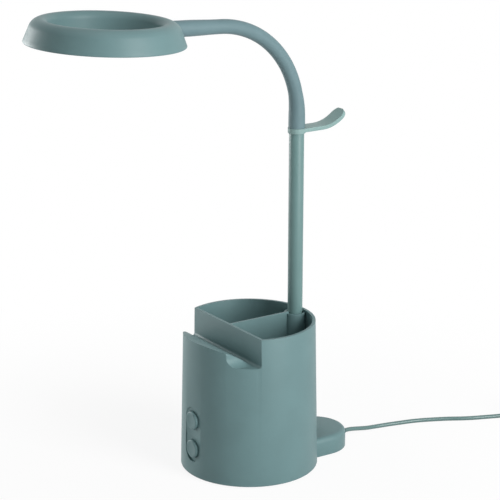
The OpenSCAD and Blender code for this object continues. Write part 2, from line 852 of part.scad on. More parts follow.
// Half of the ring's section, made smaller by inset
module head_section(inset) {
    touch = crest_out_c + (crest_out_r - inset) * [cos(flank_angle), sin(flank_angle)];
    foot_x = touch.x + touch.y * tan(flank_angle);
    bore_x = head_bore_d / 2 + inset;
    bore_top_x = crest_in_c.x - crest_in_r + inset;
    polygon([
        [bore_x, 0], [foot_x, 0], touch, crest_out_c, crest_in_c, [bore_top_x, crest_in_c.y]
    ]);
    intersection() {
        translate(crest_out_c) circle(r = crest_out_r - inset, $fn = 96);
        translate([crest_out_c.x, 0]) square(head_d);
    }
    intersection() {
        translate(crest_in_c) circle(r = crest_in_r - inset, $fn = 96);
        translate([crest_in_c.x - head_d, crest_in_c.y]) square(head_d);
    }
}

// Width of the opening inside the walls at a height above the lower edge
function flank_x(z) =
    crest_out_c.x + (crest_out_r - head_wall) / cos(flank_angle) + (crest_out_c.y - z) * tan(flank_angle);
// Radius, inside the housing, of its inner wall at a height above the head's lower edge
function bore_wall_x(z) =
    head_bore_d / 2 + head_wall + (crest_in_c.x - crest_in_r - head_bore_d / 2) * z / crest_in_c.y;

module head_cavity() {
    rotate_extrude($fn = 128) {
        head_section(head_wall);
        translate([head_bore_d / 2 + head_wall, -over])
            square([flank_x(0) - head_bore_d / 2 - head_wall, 1.5 * over]);
    }
}

module at_led_screws() {
    for (a = led_screw_angles) rotate([0, 0, a]) translate([led_screw_ring, 0, 0]) children();
}

module head_shell() {
    color(plastic) difference() {
        at_head() difference() {
            rotate_extrude($fn = 128) head_section(0);
            difference() {
                head_cavity();
                translate([0, 0, led_board_z.y]) at_led_screws() cylinder(h = head_h, r = 2.6);
                translate([0, nut_u, neck_in_head]) rotate([-90, 0, 0]) cylinder(h = 12, r = 4.9);
            }
            at_led_screws() cylinder(h = led_board_z.y + 6, r = 1.1, $fn = 24);
        }
        along_neck() translate([0, 0, neck_taper]) cylinder(h = spigot_end - neck_taper, r = spigot_r + fit);
    }
}

// Nut on the spigot, against a flat seat inside the head's wall
module neck_nut() {
    color(steel) along_neck() translate([0, 0, neck_len - nut_u]) difference() {
        cylinder(h = 3, r = 4.6, $fn = 6);
        translate([0, 0, -over]) cylinder(h = 3 + 2 * over, r = spigot_r + fit);
    }
}

module head_lead() {
    color("#3c4748") along_neck() wire([[0, 0, 2], [0, 0, spigot_end + 1.5]], 1.4);
}

module led_board() {
    color("#dfe3e2") at_head() translate([0, 0, led_board_z.x]) difference() {
        cylinder(h = led_board_z.y - led_board_z.x, r = led_board_r.y, $fn = 128);
        translate([0, 0, -over]) {
            cylinder(h = 4 * over, r = led_board_r.x, $fn = 128);
            translate([-led_notch_w / 2, 0, 0]) cube([led_notch_w, head_d, 4 * over]);
            at_led_screws() cylinder(h = 4 * over, r = 1.1 + fit, $fn = 24);
        }
    }
}

module led_chips() {
    step = 360 / led_count;
    color("#f2e7b0") at_head() for (i = [0 : led_count - 1]) rotate([0, 0, step * (i + 0.5)])
        translate([led_ring_r - 1.4, -1.75, led_board_z.x - 0.7]) cube([2.8, 3.5, 0.7]);
}

module led_screws() {
    color(steel) at_head() translate([0, 0, led_board_z.x])
        at_led_screws() pan_screw(1.1 - fit, 6, 1.9, 0.8);
}

module diffuser() {
    color("#f4f4ef") at_head() translate([0, 0, diffuser_z.x]) difference() {
        cylinder(h = diffuser_z.y - diffuser_z.x, r = flank_x(diffuser_z.y) - slit, $fn = 128);
        translate([0, 0, -over])
            cylinder(h = 5 * over, r = bore_wall_x(diffuser_z.y) + slit, $fn = 128);
    }
}

// ---- Cord ----

module cord_run() {
    color("#6f8b8a") tube(route, cord_d, 8);
}

module cord_coil() {
    color("#6f8b8a") tube(coil_path, cord_d, 6);
}

module cord_tail() {
    color("#6f8b8a") tube(tail_route, cord_d, 8);
}

// A flat band round the coil's turns, opposite the point where the cord comes in
module coil_tie() {
    r0 = coil_in_r - cord_r - 0.7;
    r1 = coil_out_r + cord_r + 0.7;
    height = 2 * coil_z + (coil_layers - 1) * coil_pitch;
    color("#3f4a4b") translate([coil_centre.x, coil_centre.y, 0]) rotate([0, 0, -60]) difference() {
        translate([r0 - tie_t, -4, 0]) cube([r1 - r0 + 2 * tie_t, 8, height]);
        translate([r0, -4 - over, tie_t]) cube([r1 - r0, 8 + 2 * over, height - 2 * tie_t]);
    }
}

module at_plug() {
    translate(tail_end) rotate([0, 0, atan2(tail_dir.y, tail_dir.x)]) children();
}

module plug_body() {
    color("#5b7675") at_plug() translate([0, -plug_w / 2, -plug_t / 2]) difference() {
        cube([plug_len, plug_w, plug_t]);
        translate([plug_len - 6, plug_w / 2 - 6 - fit, plug_t / 2 - 2.25 - fit])
            cube([7, 12 + 2 * fit, 4.5 + 2 * fit]);
    }
}

module plug_shell() {
    color(steel) at_plug() translate([plug_len - 6, -6, -2.25]) difference() {
        cube([18, 12, 4.5]);
        translate([-over, 0.4, 0.4]) cube([20, 11.2, 3.7]);
    }
}

module plug_tongue() {
    color("#e8e8e6") at_plug() translate([plug_len - 6, -5.6 + fit, 0]) cube([17, 11.2 - 2 * fit, 1.8]);
}

base_body();
base_plate();
counterweight();
weight_screws();
base_screws();
rubber_pad();
rear_pad();
cable_housing();
housing_screws();
cord_gland();
supply_lead();
control_board();
board_screws();
switch_bodies();
power_button();
power_plunger();
dimmer_button();
dimmer_plunger();
pole();
pole_bush();
pole_collar();
pole_washer();
pole_nut();
pole_lead();
headphone_hook();
sleeve_end();
neck_link(1);  // neck_link_1
neck_link(2);  // neck_link_2
neck_link(3);  // neck_link_3
neck_link(4);  // neck_link_4
neck_link(5);  // neck_link_5
neck_link(6);  // neck_link_6
neck_link(7);  // neck_link_7
neck_link(8);  // neck_link_8
neck_end();
neck_nut();
head_lead();
head_shell();
led_board();
led_chips();
led_screws();
diffuser();
cord_run();
cord_coil();
cord_tail();
coil_tie();
plug_body();
plug_shell();
plug_tongue();
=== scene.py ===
"""Looks of a desk lamp: pot base with a phone ledge, pole with a hook, flexible neck, ring head.

Every size is in millimetres in the classes below and is turned to metres where a mesh is made.
-Y is the lamp's front, +Z is up, and the origin is on the desk below the middle of the base.
"""

import logging
import math
from contextlib import contextmanager
from dataclasses import dataclass, field
from enum import Enum
from functools import partial
from typing import Callable, Iterator, Sequence

import bmesh
import bpy
from mathutils import Matrix, Vector


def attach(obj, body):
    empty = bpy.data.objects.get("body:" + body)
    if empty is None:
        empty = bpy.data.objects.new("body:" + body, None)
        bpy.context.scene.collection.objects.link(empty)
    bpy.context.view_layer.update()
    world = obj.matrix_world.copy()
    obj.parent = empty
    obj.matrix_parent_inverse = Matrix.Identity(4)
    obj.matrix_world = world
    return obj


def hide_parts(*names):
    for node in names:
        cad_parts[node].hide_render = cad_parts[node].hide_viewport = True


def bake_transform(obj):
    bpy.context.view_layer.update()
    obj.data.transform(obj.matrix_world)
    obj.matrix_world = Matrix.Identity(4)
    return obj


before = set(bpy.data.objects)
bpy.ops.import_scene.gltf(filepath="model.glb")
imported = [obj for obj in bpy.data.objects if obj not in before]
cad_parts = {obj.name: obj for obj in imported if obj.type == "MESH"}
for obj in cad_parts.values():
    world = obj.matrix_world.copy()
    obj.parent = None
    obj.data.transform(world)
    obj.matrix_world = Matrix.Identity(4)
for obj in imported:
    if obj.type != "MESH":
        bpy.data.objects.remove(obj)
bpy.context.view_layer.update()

LOG = logging.getLogger("desk_lamp")
MM = 0.001
TOUCH = 0.01  # corners nearer than this to a plane lie on it, in millimetres
WIDE, DEEP, TALL = 90.0, 140.0, 200.0  # sizes that reach well past the pot, in millimetres
WHITE = (1.0, 1.0, 1.0, 1.0)
Piece = bpy.types.Object
Point = Sequence[float]
Test = Callable[[Vector], bool]


# ---- small tools for modelling


def metres(point: Point) -> Vector:
    """Turns a point in millimetres to metres.

    Args:
        point: three numbers in millimetres.

    Returns:
        The same point in metres.
    """
    return Vector(point) * MM


def clear_selection() -> None:
    """Deselects every object, so that the next operator touches only what it adds."""
    for other in bpy.context.selected_objects:
        other.select_set(False)


def select_all(action: str = "SELECT") -> None:
    """Selects everything in the edited mesh, or nothing with DESELECT."""
    bpy.ops.mesh.select_all(action=action)


def activate(obj: Piece) -> None:
    """Deselects everything and makes obj the selected and active object."""
    clear_selection()
    obj.select_set(True)
    bpy.context.view_layer.objects.active = obj


@contextmanager
def editing(obj: Piece) -> Iterator[None]:
    """Opens obj in edit mode and leaves it again."""
    activate(obj)
    bpy.ops.object.mode_set(mode="EDIT")
    yield
    bpy.ops.object.mode_set(mode="OBJECT")


def at(**planes: float) -> Test:
    """Makes a test for pick that a corner passes where it lies on every plane given.

    Args:
        planes: x, y or z of each plane, in millimetres.

    Returns:
        The test.
    """
    return lambda c: all(abs(getattr(c, axis) - place) < TOUCH for axis, place in planes.items())


def pick(obj: Piece, kind: str, test: Test) -> None:
    """Selects the parts of an edited mesh whose corners all pass a test.

    Args:
        obj: the object that is in edit mode.
        kind: VERT, EDGE or FACE.
        test: takes a corner in millimetres and says whether it passes.
    """
    bpy.ops.mesh.select_mode(type=kind)
    select_all("DESELECT")
    shape = bmesh.from_edit_mesh(obj.data)
    if kind == "VERT":
        for vert in shape.verts:
            vert.select_set(test(vert.co / MM))
        shape.select_flush(True)
    else:
        for part in shape.edges if kind == "EDGE" else shape.faces:
            part.select_set(all(test(vert.co / MM) for vert in part.verts))
    bmesh.update_edit_mesh(obj.data)


def round_edges(obj: Piece, test: Test, width: float, steps: int) -> None:
    """Rounds the edges whose corners pass a test.

    Args:
        obj: the object.
        test: as pick takes it.
        width: width of the rounding in millimetres.
        steps: number of faces across the rounding.
    """
    with editing(obj):
        pick(obj, "EDGE", test)
        bpy.ops.mesh.bevel(offset=width * MM, segments=steps, affect="EDGES")


def named(name: str) -> Piece:
    """Applies the place of the object just added, names it and returns it."""
    obj = bpy.context.active_object
    bpy.ops.object.transform_apply(location=True, rotation=True, scale=True)
    obj.name = name
    obj.data.name = name
    return obj


def add_block(name: str, low: Point, high: Point) -> Piece:
    """Adds a box between two corners.

    Args:
        name: name of the new object.
        low: lowest corner, in millimetres.
        high: highest corner, in millimetres.

    Returns:
        The new object, with its place in its mesh.
    """
    clear_selection()
    middle = (metres(low) + metres(high)) / 2
    bpy.ops.mesh.primitive_cube_add(size=1, location=middle, scale=metres(high) - metres(low))
    return named(name)


def add_round(
    name: str,
    radius: float,
    start: Point,
    end: Point,
    end_radius: float | None = None,
    sides: int = 96,
) -> Piece:
    """Adds a cylinder or cone from one point to another.

    Args:
        name: name of the new object.
        radius: radius at the start, in millimetres.
        start: middle of the first face, in millimetres.
        end: middle of the last face, in millimetres.
        end_radius: radius at the end, if it differs.
        sides: number of sides.

    Returns:
        The new object, with its place in its mesh.
    """
    clear_selection()
    a, b = metres(start), metres(end)
    turn = (b - a).to_track_quat("Z", "Y").to_euler()
    bpy.ops.mesh.primitive_cone_add(
        vertices=sides,
        radius1=radius * MM,
        radius2=(radius if end_radius is None else end_radius) * MM,
        depth=(b - a).length,
        location=(a + b) / 2,
        rotation=turn,
    )
    return named(name)


def carve(obj: Piece, *tools: Piece, how: str = "DIFFERENCE") -> None:
    """Cuts tools out of obj, joins them to it or keeps what they share, and deletes them.

    Args:
        obj: the object that is changed.
        tools: the objects that change it.
        how: DIFFERENCE, UNION or INTERSECT.
    """
    for tool in tools:
        modifier = obj.modifiers.new("carve", "BOOLEAN")
        modifier.operation = how
        modifier.object = tool
        modifier.solver = "EXACT"
        activate(obj)
        bpy.ops.object.modifier_apply(modifier=modifier.name)
        bpy.data.objects.remove(tool)


def merge(obj: Piece, distance: float = 0.005) -> None:
    """Joins corners that lie closer than distance, in millimetres."""
    with editing(obj):
        select_all()
        bpy.ops.mesh.remove_doubles(threshold=distance * MM)


def outward(obj: Piece) -> None:
    """Turns all faces outwards."""
    with editing(obj):
        select_all()
        bpy.ops.mesh.normals_make_consistent(inside=False)


def soften(obj: Piece, width: float, steps: int = 3, angle: float = 35) -> None:
    """Rounds the sharp edges.

    Args:
        obj: the object.
        width: width of the rounding in millimetres.
        steps: number of faces across the rounding.
        angle: smallest angle between two faces whose edge is rounded, in degrees.
    """
    modifier = obj.modifiers.new("soften", "BEVEL")
    modifier.width = width * MM
    modifier.segments = steps
    modifier.limit_method = "ANGLE"
    modifier.angle_limit = math.radians(angle)
    modifier.miter_outer = "MITER_ARC"
    activate(obj)
    bpy.ops.object.modifier_apply(modifier=modifier.name)


def smooth(obj: Piece, angle: float = 28) -> None:
    """Shades obj smooth except across edges sharper than angle, in degrees."""
    activate(obj)
    bpy.ops.object.shade_smooth_by_angle(angle=math.radians(angle))


def break_edges(obj: Piece, width: float) -> None:
    """Rounds the sharp edges a little, by width in millimetres, and shades obj smooth."""
    soften(obj, width, 2, 50)
    smooth(obj)


def arc(centre: Point, radius: float, first: float, last: float, steps: int) -> list[tuple]:
    """Points on an arc in a plane.

    Args:
        centre: middle of the arc.
        radius: its radius.
        first: angle of the first point in degrees.
        last: angle of the last point in degrees.
        steps: number of steps between them.

    Returns:
        A list of steps + 1 points.
    """
    angles = [math.radians(first + (last - first) * i / steps) for i in range(steps + 1)]
    return [(centre[0] + radius * math.cos(a), centre[1] + radius * math.sin(a)) for a in angles]


def lathe(name: str, outline: Sequence[Point], steps: int = 128) -> Piece:
    """Draws an outline corner by corner and spins it round the upright axis.

    Args:
        name: name of the new object.
        outline: closed outline as (radius, height) pairs in millimetres.
        steps: number of steps round the axis.

    Returns:
        The turned object, round the origin's Z axis.
    """
    clear_selection()
    bpy.ops.mesh.primitive_plane_add(size=MM)
    obj = named(name)
    with editing(obj):
        bpy.ops.mesh.select_mode(type="VERT")
        select_all()
        bpy.ops.mesh.merge(type="CENTER")
        start = metres((outline[0][0], 0, outline[0][1]))
        bpy.ops.transform.translate(value=start)
        for here, there in zip(outline, list(outline[1:]) + [outline[0]]):
            step = metres((there[0] - here[0], 0, there[1] - here[1]))
            bpy.ops.mesh.extrude_vertices_move(TRANSFORM_OT_translate={"value": step})
        select_all()
        bpy.ops.mesh.remove_doubles(threshold=0.001 * MM)
        bpy.ops.mesh.spin(
            steps=steps, angle=2 * math.pi, center=(0, 0, 0), axis=(0, 0, 1), use_auto_merge=True
        )
        select_all()
        bpy.ops.mesh.remove_doubles(threshold=0.004 * MM)
        bpy.ops.mesh.delete_loose()
        select_all()
        bpy.ops.mesh.normals_make_consistent(inside=False)
    return obj


def spot(point: Point, turn: float, axis: str) -> Matrix:
    """The move to a point in millimetres, after a turn in radians round X or Z."""
    return Matrix.Translation(metres(point)) @ Matrix.Rotation(turn, 4, axis)


def add_object(name: str, data: bpy.types.ID) -> Piece:
    """Puts a curve, lamp or camera into the scene as a new object."""
    obj = bpy.data.objects.new(name, data)
    bpy.context.scene.collection.objects.link(obj)
    return obj


def place(obj: Piece, matrix: Matrix) -> None:
    """Moves obj by matrix and puts its new place into its mesh."""
    obj.matrix_world = matrix
    activate(obj)
    bpy.ops.object.transform_apply(location=True, rotation=True, scale=True)


# ---- materials


def linear(hex_colour: str) -> tuple[float, float, float, float]:
    """Turns an sRGB hex colour to the linear colour that a shader takes.

    Args:
        hex_colour: such as #66807f.

    Returns:
        Red, green, blue and alpha.
    """
    parts = [int(hex_colour[i : i + 2], 16) / 255 for i in (1, 3, 5)]
    turned = [c / 12.92 if c <= 0.04045 else ((c + 0.055) / 1.055) ** 2.4 for c in parts]
    return (turned[0], turned[1], turned[2], 1.0)


def add_node(
    tree: bpy.types.NodeTree, kind: str, inputs: dict | None = None, **settings: str
) -> bpy.types.Node:
    """Adds a shader node with its settings, values and links.

    Args:
        tree: the material's or world's node tree.
        kind: the node's type name, without ShaderNode before it.
        inputs: values or output sockets for its inputs, by name or number.
        settings: attributes of the node, by name.

    Returns:
        The new node.
    """
    made = tree.nodes.new("ShaderNode" + kind)
    for key, value in settings.items():
        setattr(made, key, value)
    for key, value in (inputs or {}).items():
        if isinstance(value, bpy.types.NodeSocket):
            tree.links.new(value, made.inputs[key])
        else:
            made.inputs[key].default_value = value
    return made


class Surface(Enum):
    """How the surface of a finish was made, which decides its relief."""

    SPARKED = "fine spark-eroded mould texture"
    POWDER = "orange peel of a powder coat"
    SILK = "soft silicone with a silky face"
    EXTRUDED = "smooth extruded jacket"
    PLATED = "drawn or turned metal with plating"
    PRINTED = "flat laminate with a printed lacquer"


@dataclass(frozen=True)
class Finish:
    """One material: what it is, its colours and its relief.

    Grain and cloud are widths in millimetres, and relief is the strength of the bump.
    """

    name: str
    colour: str
    shade: str
    surface: Surface
    roughness: float
    grain: float
    relief: float
    metallic: float = 0.0
    ior: float = 1.5
    sheen: float = 0.0
    cloud: float = 30.0
    shine: float = 0.3

    def build(self) -> bpy.types.Material:
        """Builds the material.

        Returns:
            The new material.
        """
        material = bpy.data.materials.new(self.name)
        material.use_nodes = True
        material.node_tree.nodes.clear()
        make = partial(add_node, material.node_tree)
        place_of = make("TexCoord").outputs["Object"]
        # Slow clouds of tone, a few centimetres wide, as moulded or coated colour has
        clouds = make(
            "TexNoise",
            {"Vector": place_of, "Scale": 1000 / self.cloud, "Detail": 3.0, "Roughness": 0.5},
        )
        tone = make(
            "MapRange",
            {"Value": clouds.outputs["Fac"], "From Min": 0.3, "From Max": 0.7},
            interpolation_type="SMOOTHSTEP",
        )
        colour = make(
            "Mix",
            {"Factor": tone.outputs["Result"], 6: linear(self.shade), 7: linear(self.colour)},
            data_type="RGBA",
        )
        # The relief's own grain, in millimetres; it also roughens the gloss from place to place
        grain_at = place_of
        if self.surface in (Surface.PLATED, Surface.PRINTED):
            # Drawn out along Z, as brushing or rolling leaves it
            stretched = make("Mapping", {"Vector": place_of, "Scale": (1.0, 1.0, 0.08)})
            grain_at = stretched.outputs["Vector"]
        grain = make(
            "TexNoise",
            {"Vector": grain_at, "Scale": 1000 / self.grain, "Detail": 2.0, "Roughness": 0.55},
        ).outputs["Fac"]
        height = grain
        if self.surface is Surface.SPARKED:
            # Small round craters between the grains, as an eroded mould leaves them
            pits = make(
                "TexVoronoi",
                {"Vector": place_of, "Scale": 1000 / (0.8 * self.grain), "Smoothness": 0.6},
                feature="SMOOTH_F1",
            )
            height = make(
                "Math", {0: pits.outputs["Distance"], 1: 0.6, 2: grain}, operation="MULTIPLY_ADD"
            ).outputs[0]
        rough = make(
            "MapRange",
            {
                "Value": grain,
                "From Min": 0.25,
                "From Max": 0.75,
                "To Min": max(self.roughness - 0.05, 0.03),
                "To Max": min(self.roughness + 0.05, 1.0),
            },
        )
        bump = make(
            "Bump", {"Height": height, "Strength": self.relief, "Distance": 0.12 * self.grain * MM}
        )
        shader = make(
            "BsdfPrincipled",
            {
                "Base Color": colour.outputs[2],
                "Roughness": rough.outputs["Result"],
                "Normal": bump.outputs["Normal"],
                "Metallic": self.metallic,
                "Sheen Weight": self.sheen,
                "Sheen Roughness": 0.4,
                "Specular IOR Level": 0.5 if self.metallic else self.shine,
            },
        )
        if not self.metallic:
            shader.inputs["IOR"].default_value = self.ior
        make("OutputMaterial", {"Surface": shader.outputs["BSDF"]})
        return material


# Moulded ABS in grey-green: satin, with a fine even grain. The real grain is about 0.2 mm, too
# fine for the picture, so it is drawn at about 1 mm
BODY_PLASTIC = Finish(
    "Moulded ABS, spark-eroded satin, grey-green", "#688688", "#658284", Surface.SPARKED,
    0.46, 1.0, 0.16,
)
# The same plastic in a polished mould: the hook is a little lighter and smoother
HOOK_PLASTIC = Finish(
    "Moulded ABS, fine satin, light grey-green", "#83a09e", "#809d9b", Surface.SPARKED,
    0.42, 0.8, 0.1,
)
# Powder coat on the steel pole: a soft sheen with a slight orange peel, about 2 mm across
POLE_COAT = Finish(
    "Powder-coated steel, grey-green", "#6a8988", "#678685", Surface.POWDER, 0.4, 2.0, 0.18
)
# Silicone sleeve of the flexible neck: silky, it takes light softly at its edges
SLEEVE = Finish(
    "Silicone rubber sleeve, silky, grey-green", "#6b8489", "#678085", Surface.SILK, 0.5, 1.2, 0.08,
    ior=1.42, sheen=0.06,
)
# Darker ABS of the hidden bottom plate, bush and gland
DARK_PLASTIC = Finish(
    "Moulded ABS, dark grey-green", "#4b5f60", "#475b5c", Surface.SPARKED, 0.5, 1.0, 0.2
)
PLUG_PLASTIC = Finish(
    "Moulded PVC plug body, grey-green", "#5c7778", "#587374", Surface.SPARKED, 0.48, 0.9, 0.2
)
# PVC cord jacket: extruded, slightly waxy, with fine long streaks of gloss
CORD_JACKET = Finish(
    "Extruded soft PVC jacket, grey-green", "#5f7d7b", "#5b7876", Surface.EXTRUDED, 0.3, 1.6, 0.05,
    shine=0.5,
)
LEAD_JACKET = Finish(
    "Extruded PVC jacket, dark grey", "#3a4344", "#363f40", Surface.EXTRUDED, 0.45, 1.5, 0.06
)
# Frosted acrylic of the diffuser: milky and even, hiding the light sources
OPAL = Finish(
    "Frosted opal acrylic", "#f1f1ec", "#edede8", Surface.SPARKED, 0.5, 0.8, 0.06, ior=1.49
)
RUBBER = Finish(
    "Moulded natural rubber, black", "#2a2d2e", "#262929", Surface.SPARKED, 0.8, 1.2, 0.35, ior=1.52
)
ZINC = Finish(
    "Zinc-plated steel, turned", "#b9bcbe", "#aeb1b4", Surface.PLATED, 0.34, 0.9, 0.15, metallic=1.0
)
NICKEL = Finish(
    "Nickel-plated steel sheet", "#c9c7c0", "#c0beb8", Surface.PLATED, 0.24, 1.4, 0.06, metallic=1.0
)
WEIGHT = Finish(
    "Sawn steel plate, oiled", "#6a6d6f", "#5c5f61", Surface.PLATED, 0.52, 1.6, 0.4, metallic=1.0
)
BOARD_GREEN = Finish(
    "Glass-fibre laminate with green solder resist", "#2f6b45", "#2a6240", Surface.PRINTED,
    0.3, 1.4, 0.1,
)
BOARD_WHITE = Finish(
    "Glass-fibre laminate with white solder resist", "#dfe3e2", "#d8dcdb", Surface.PRINTED,
    0.35, 1.4, 0.08,
)
PHOSPHOR = Finish(
    "Phosphor-filled silicone, yellow", "#efdc90", "#ead584", Surface.SILK, 0.35, 0.8, 0.1, ior=1.42
)
NYLON_BLACK = Finish(
    "Moulded nylon, black", "#2b2d2e", "#272929", Surface.SPARKED, 0.45, 0.8, 0.15, ior=1.53
)
NYLON_IVORY = Finish(
    "Moulded nylon, ivory", "#dcdad2", "#d6d4cc", Surface.SPARKED, 0.42, 0.8, 0.1, ior=1.53
)


class Paintbox:
    """Builds each finish once and hands it out."""

    def __init__(self) -> None:
        """Starts with no material made."""
        self.made: dict[str, bpy.types.Material] = {}

    def dress(self, obj: Piece, finish: Finish) -> None:
        """Gives obj one finish all over.

        Args:
            obj: a new piece or a node of the frame.
            finish: what it gets.
        """
        if finish.name not in self.made:
            self.made[finish.name] = finish.build()
        material = self.made[finish.name]
        if obj.material_slots:
            for holder in obj.material_slots:
                holder.material = material
        else:
            obj.data.materials.append(material)


PAINT = Paintbox()


def hand_over(
    obj: Piece,
    body: str,
    finish: Finish,
    nodes: Sequence[str] = (),
) -> Piece:
    """Dresses a piece, joins it to a body of the frame and hides the nodes that it stands for.

    Args:
        obj: the finished piece.
        body: the body it moves with, or an empty text to leave it on no body.
        finish: its material.
        nodes: nodes of the frame that it replaces.

    Returns:
        The piece.
    """
    PAINT.dress(obj, finish)
    if body:
        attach(obj, body)
    if nodes:
        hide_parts(*nodes)
    LOG.info("%s: %d faces", obj.name, len(getattr(obj.data, "polygons", ())))
    return obj


# ---- base


@dataclass
class PotBase:
    """The round pot: two pen compartments, the phone ledge, the scoop and the button recess."""

    foot_r: float = 60.0
    rim_r: float = 57.1
    height: float = 132.3
    skirt: float = 1.0
    wall: float = 2.6
    floor: tuple = (34.0, 36.4)
    front_wall: tuple = (22.9, 20.5)
    divider: float = 1.8
    groove_z: float = 107.0
    cove: float = 3.0
    ledge_arc: tuple = (70.31, 56.98, 67.0)
    scoop_x: float = 34.2
    scoop_arcs: tuple = (6.0, 8.5)
    socket: tuple = (48.0, 9.4, 7.45, 130.3)
    recess: tuple = (57.6, 11.5)
    pad: tuple = (15.0, 54.8, 11.0, 65.5)
    button_z: tuple = (25.5, 51.5)
    hole_r: float = 8.3
    divider_drop: float = 0.6
    corner: float = 1.2  # rounding of the foot and of the compartments' floor
    scoop_back: float = 25.4
    scoop_rise: float = 16.0
    button_room: float = 57.0
    through_r: float = 6.55
    window: tuple = (25.9, 30.0, 13.0)
    rounding: float = 0.9

    def radius(self, z: float) -> float:
        """Outside radius at a height."""
        return self.foot_r - (self.foot_r - self.rim_r) * z / self.height

    def cone(self, name: str, grow: float, low: float, high: float) -> Piece:
        """A slice of the pot's cone, made larger by grow.

        Args:
            name: name of the new object.
            grow: added to the radius.
            low: lower height.
            high: upper height.

        Returns:
            The slice.
        """
        return add_round(
            name, self.radius(low) + grow, (0, 0, low), (0, 0, high), self.radius(high) + grow, 192
        )

    def ledge_tool(self) -> Piece:
        """The space above the ledge: a box with a rounded lower edge, less the domed slope."""
        front = -self.front_wall[0]
        tool = add_block("ledge", (-WIDE, -DEEP, self.groove_z), (WIDE, front, TALL))
        round_edges(tool, at(z=self.groove_z, y=front), self.cove, 10)
        u, z, r = self.ledge_arc
        carve(tool, add_round("slope", r, (-100, -u, z), (100, -u, z), sides=360))
        return tool

    def scoop_tool(self) -> Piece:
        """The cable scoop on the right: a rounded box whose upper edge flares over the ledge."""
        top_r, low_r = self.scoop_arcs
        floor = self.groove_z + 0.1  # just above the groove, so that the two cuts don't coincide
        tool = add_block("scoop", (self.scoop_x, -DEEP, floor), (120, -self.scoop_back, TALL))
        round_edges(tool, at(x=self.scoop_x, z=floor), low_r, 12)
        edge, bar_z = self.scoop_x - top_r, self.groove_z + self.scoop_rise - top_r
        flare = add_block(
            "flare", (edge, -DEEP, bar_z), (self.scoop_x + 0.5, -self.scoop_back, TALL)
        )
        carve(flare, add_round("bar", top_r, (edge, -DEEP - 10, bar_z), (edge, -20, bar_z)))
        carve(tool, flare, how="UNION")
        return tool

    def pocket_tool(self) -> Piece:
        """The two compartments, with the divider and the pole's socket left standing."""
        tool = self.cone("pocket", -self.wall, self.floor[1], self.height + 2)
        carve(tool, add_block("front", (-WIDE, -WIDE, 0), (WIDE, -self.front_wall[1], TALL)))
        half, top = self.divider / 2, self.height - self.divider_drop
        carve(tool, add_block("divider", (-half, -WIDE, 0), (half, WIDE, top)))
        y, r, _, top = self.socket
        carve(tool, add_round("boss", r, (0, y, 0), (0, y, top)))
        round_edges(tool, at(z=self.floor[1]), self.corner, 4)
        return tool

    def chamber_tool(self) -> Piece:
        """The hollow below the compartments and behind the buttons."""
        tool = self.cone("chamber", -self.wall, 0.0, 120.0)
        front = -self.front_wall[0]
        keep = add_block("under_floor", (-WIDE, -WIDE, 0), (WIDE, WIDE, self.floor[0]))
        behind = add_block("front", (-WIDE, -WIDE, 0), (WIDE, front, self.button_room))
        carve(keep, behind, how="UNION")
        u, z, r = self.ledge_arc
        dome = add_round("dome", r - self.wall, (-100, -u, z), (100, -u, z), sides=180)
        carve(dome, add_block("back", (-120, front, -50), (120, WIDE, TALL)))
        carve(dome, add_block("under", (-120, -TALL, -50), (120, WIDE, 50)))
        carve(keep, dome, how="UNION")
        carve(tool, keep, how="INTERSECT")
        side, under = self.scoop_x - self.wall, self.groove_z - self.wall
        carve(tool, add_block("scoop_wall", (side, -120, under), (120, WIDE, TALL)))
        half, u, low, high = self.pad
        carve(tool, add_block("pad", (-half, -WIDE, low), (half, -u, high)))
        return tool

    def recess_tool(self) -> Piece:
        """The oblong recess for the buttons."""
        u, r = self.recess
        low, high = self.button_z
        tool = add_round("recess", r, (0, -80, low), (0, -u, low))
        with editing(tool):
            pick(tool, "VERT", lambda c: c.z > low + TOUCH)
            bpy.ops.transform.translate(value=(0, 0, (high - low) * MM))
        return tool

    def build(self) -> Piece:
        """Models the pot.

        Returns:
            The pot, riding on the stand.
        """
        pot = self.cone("pot_base", 0.0, self.skirt, self.height)
        round_edges(pot, at(z=self.skirt), self.corner, 3)
        carve(pot, self.ledge_tool(), self.scoop_tool())
        carve(pot, self.pocket_tool(), self.chamber_tool(), self.recess_tool())
        for z in self.button_z:
            carve(pot, add_round("hole", self.hole_r, (0, -70, z), (0, -40, z)))
        y, _, bore, _ = self.socket
        carve(pot, add_round("bore", bore, (0, y, 40), (0, y, 160)))
        carve(pot, add_round("through", self.through_r, (0, y, 20), (0, y, 60)))
        half, y, top = self.window
        carve(pot, add_block("window", (-half, y, -1), (half, WIDE, top)))
        merge(pot, 0.02)
        soften(pot, self.rounding, 4, 38)
        smooth(pot)
        return hand_over(pot, "stand", BODY_PLASTIC, ["base_body"])


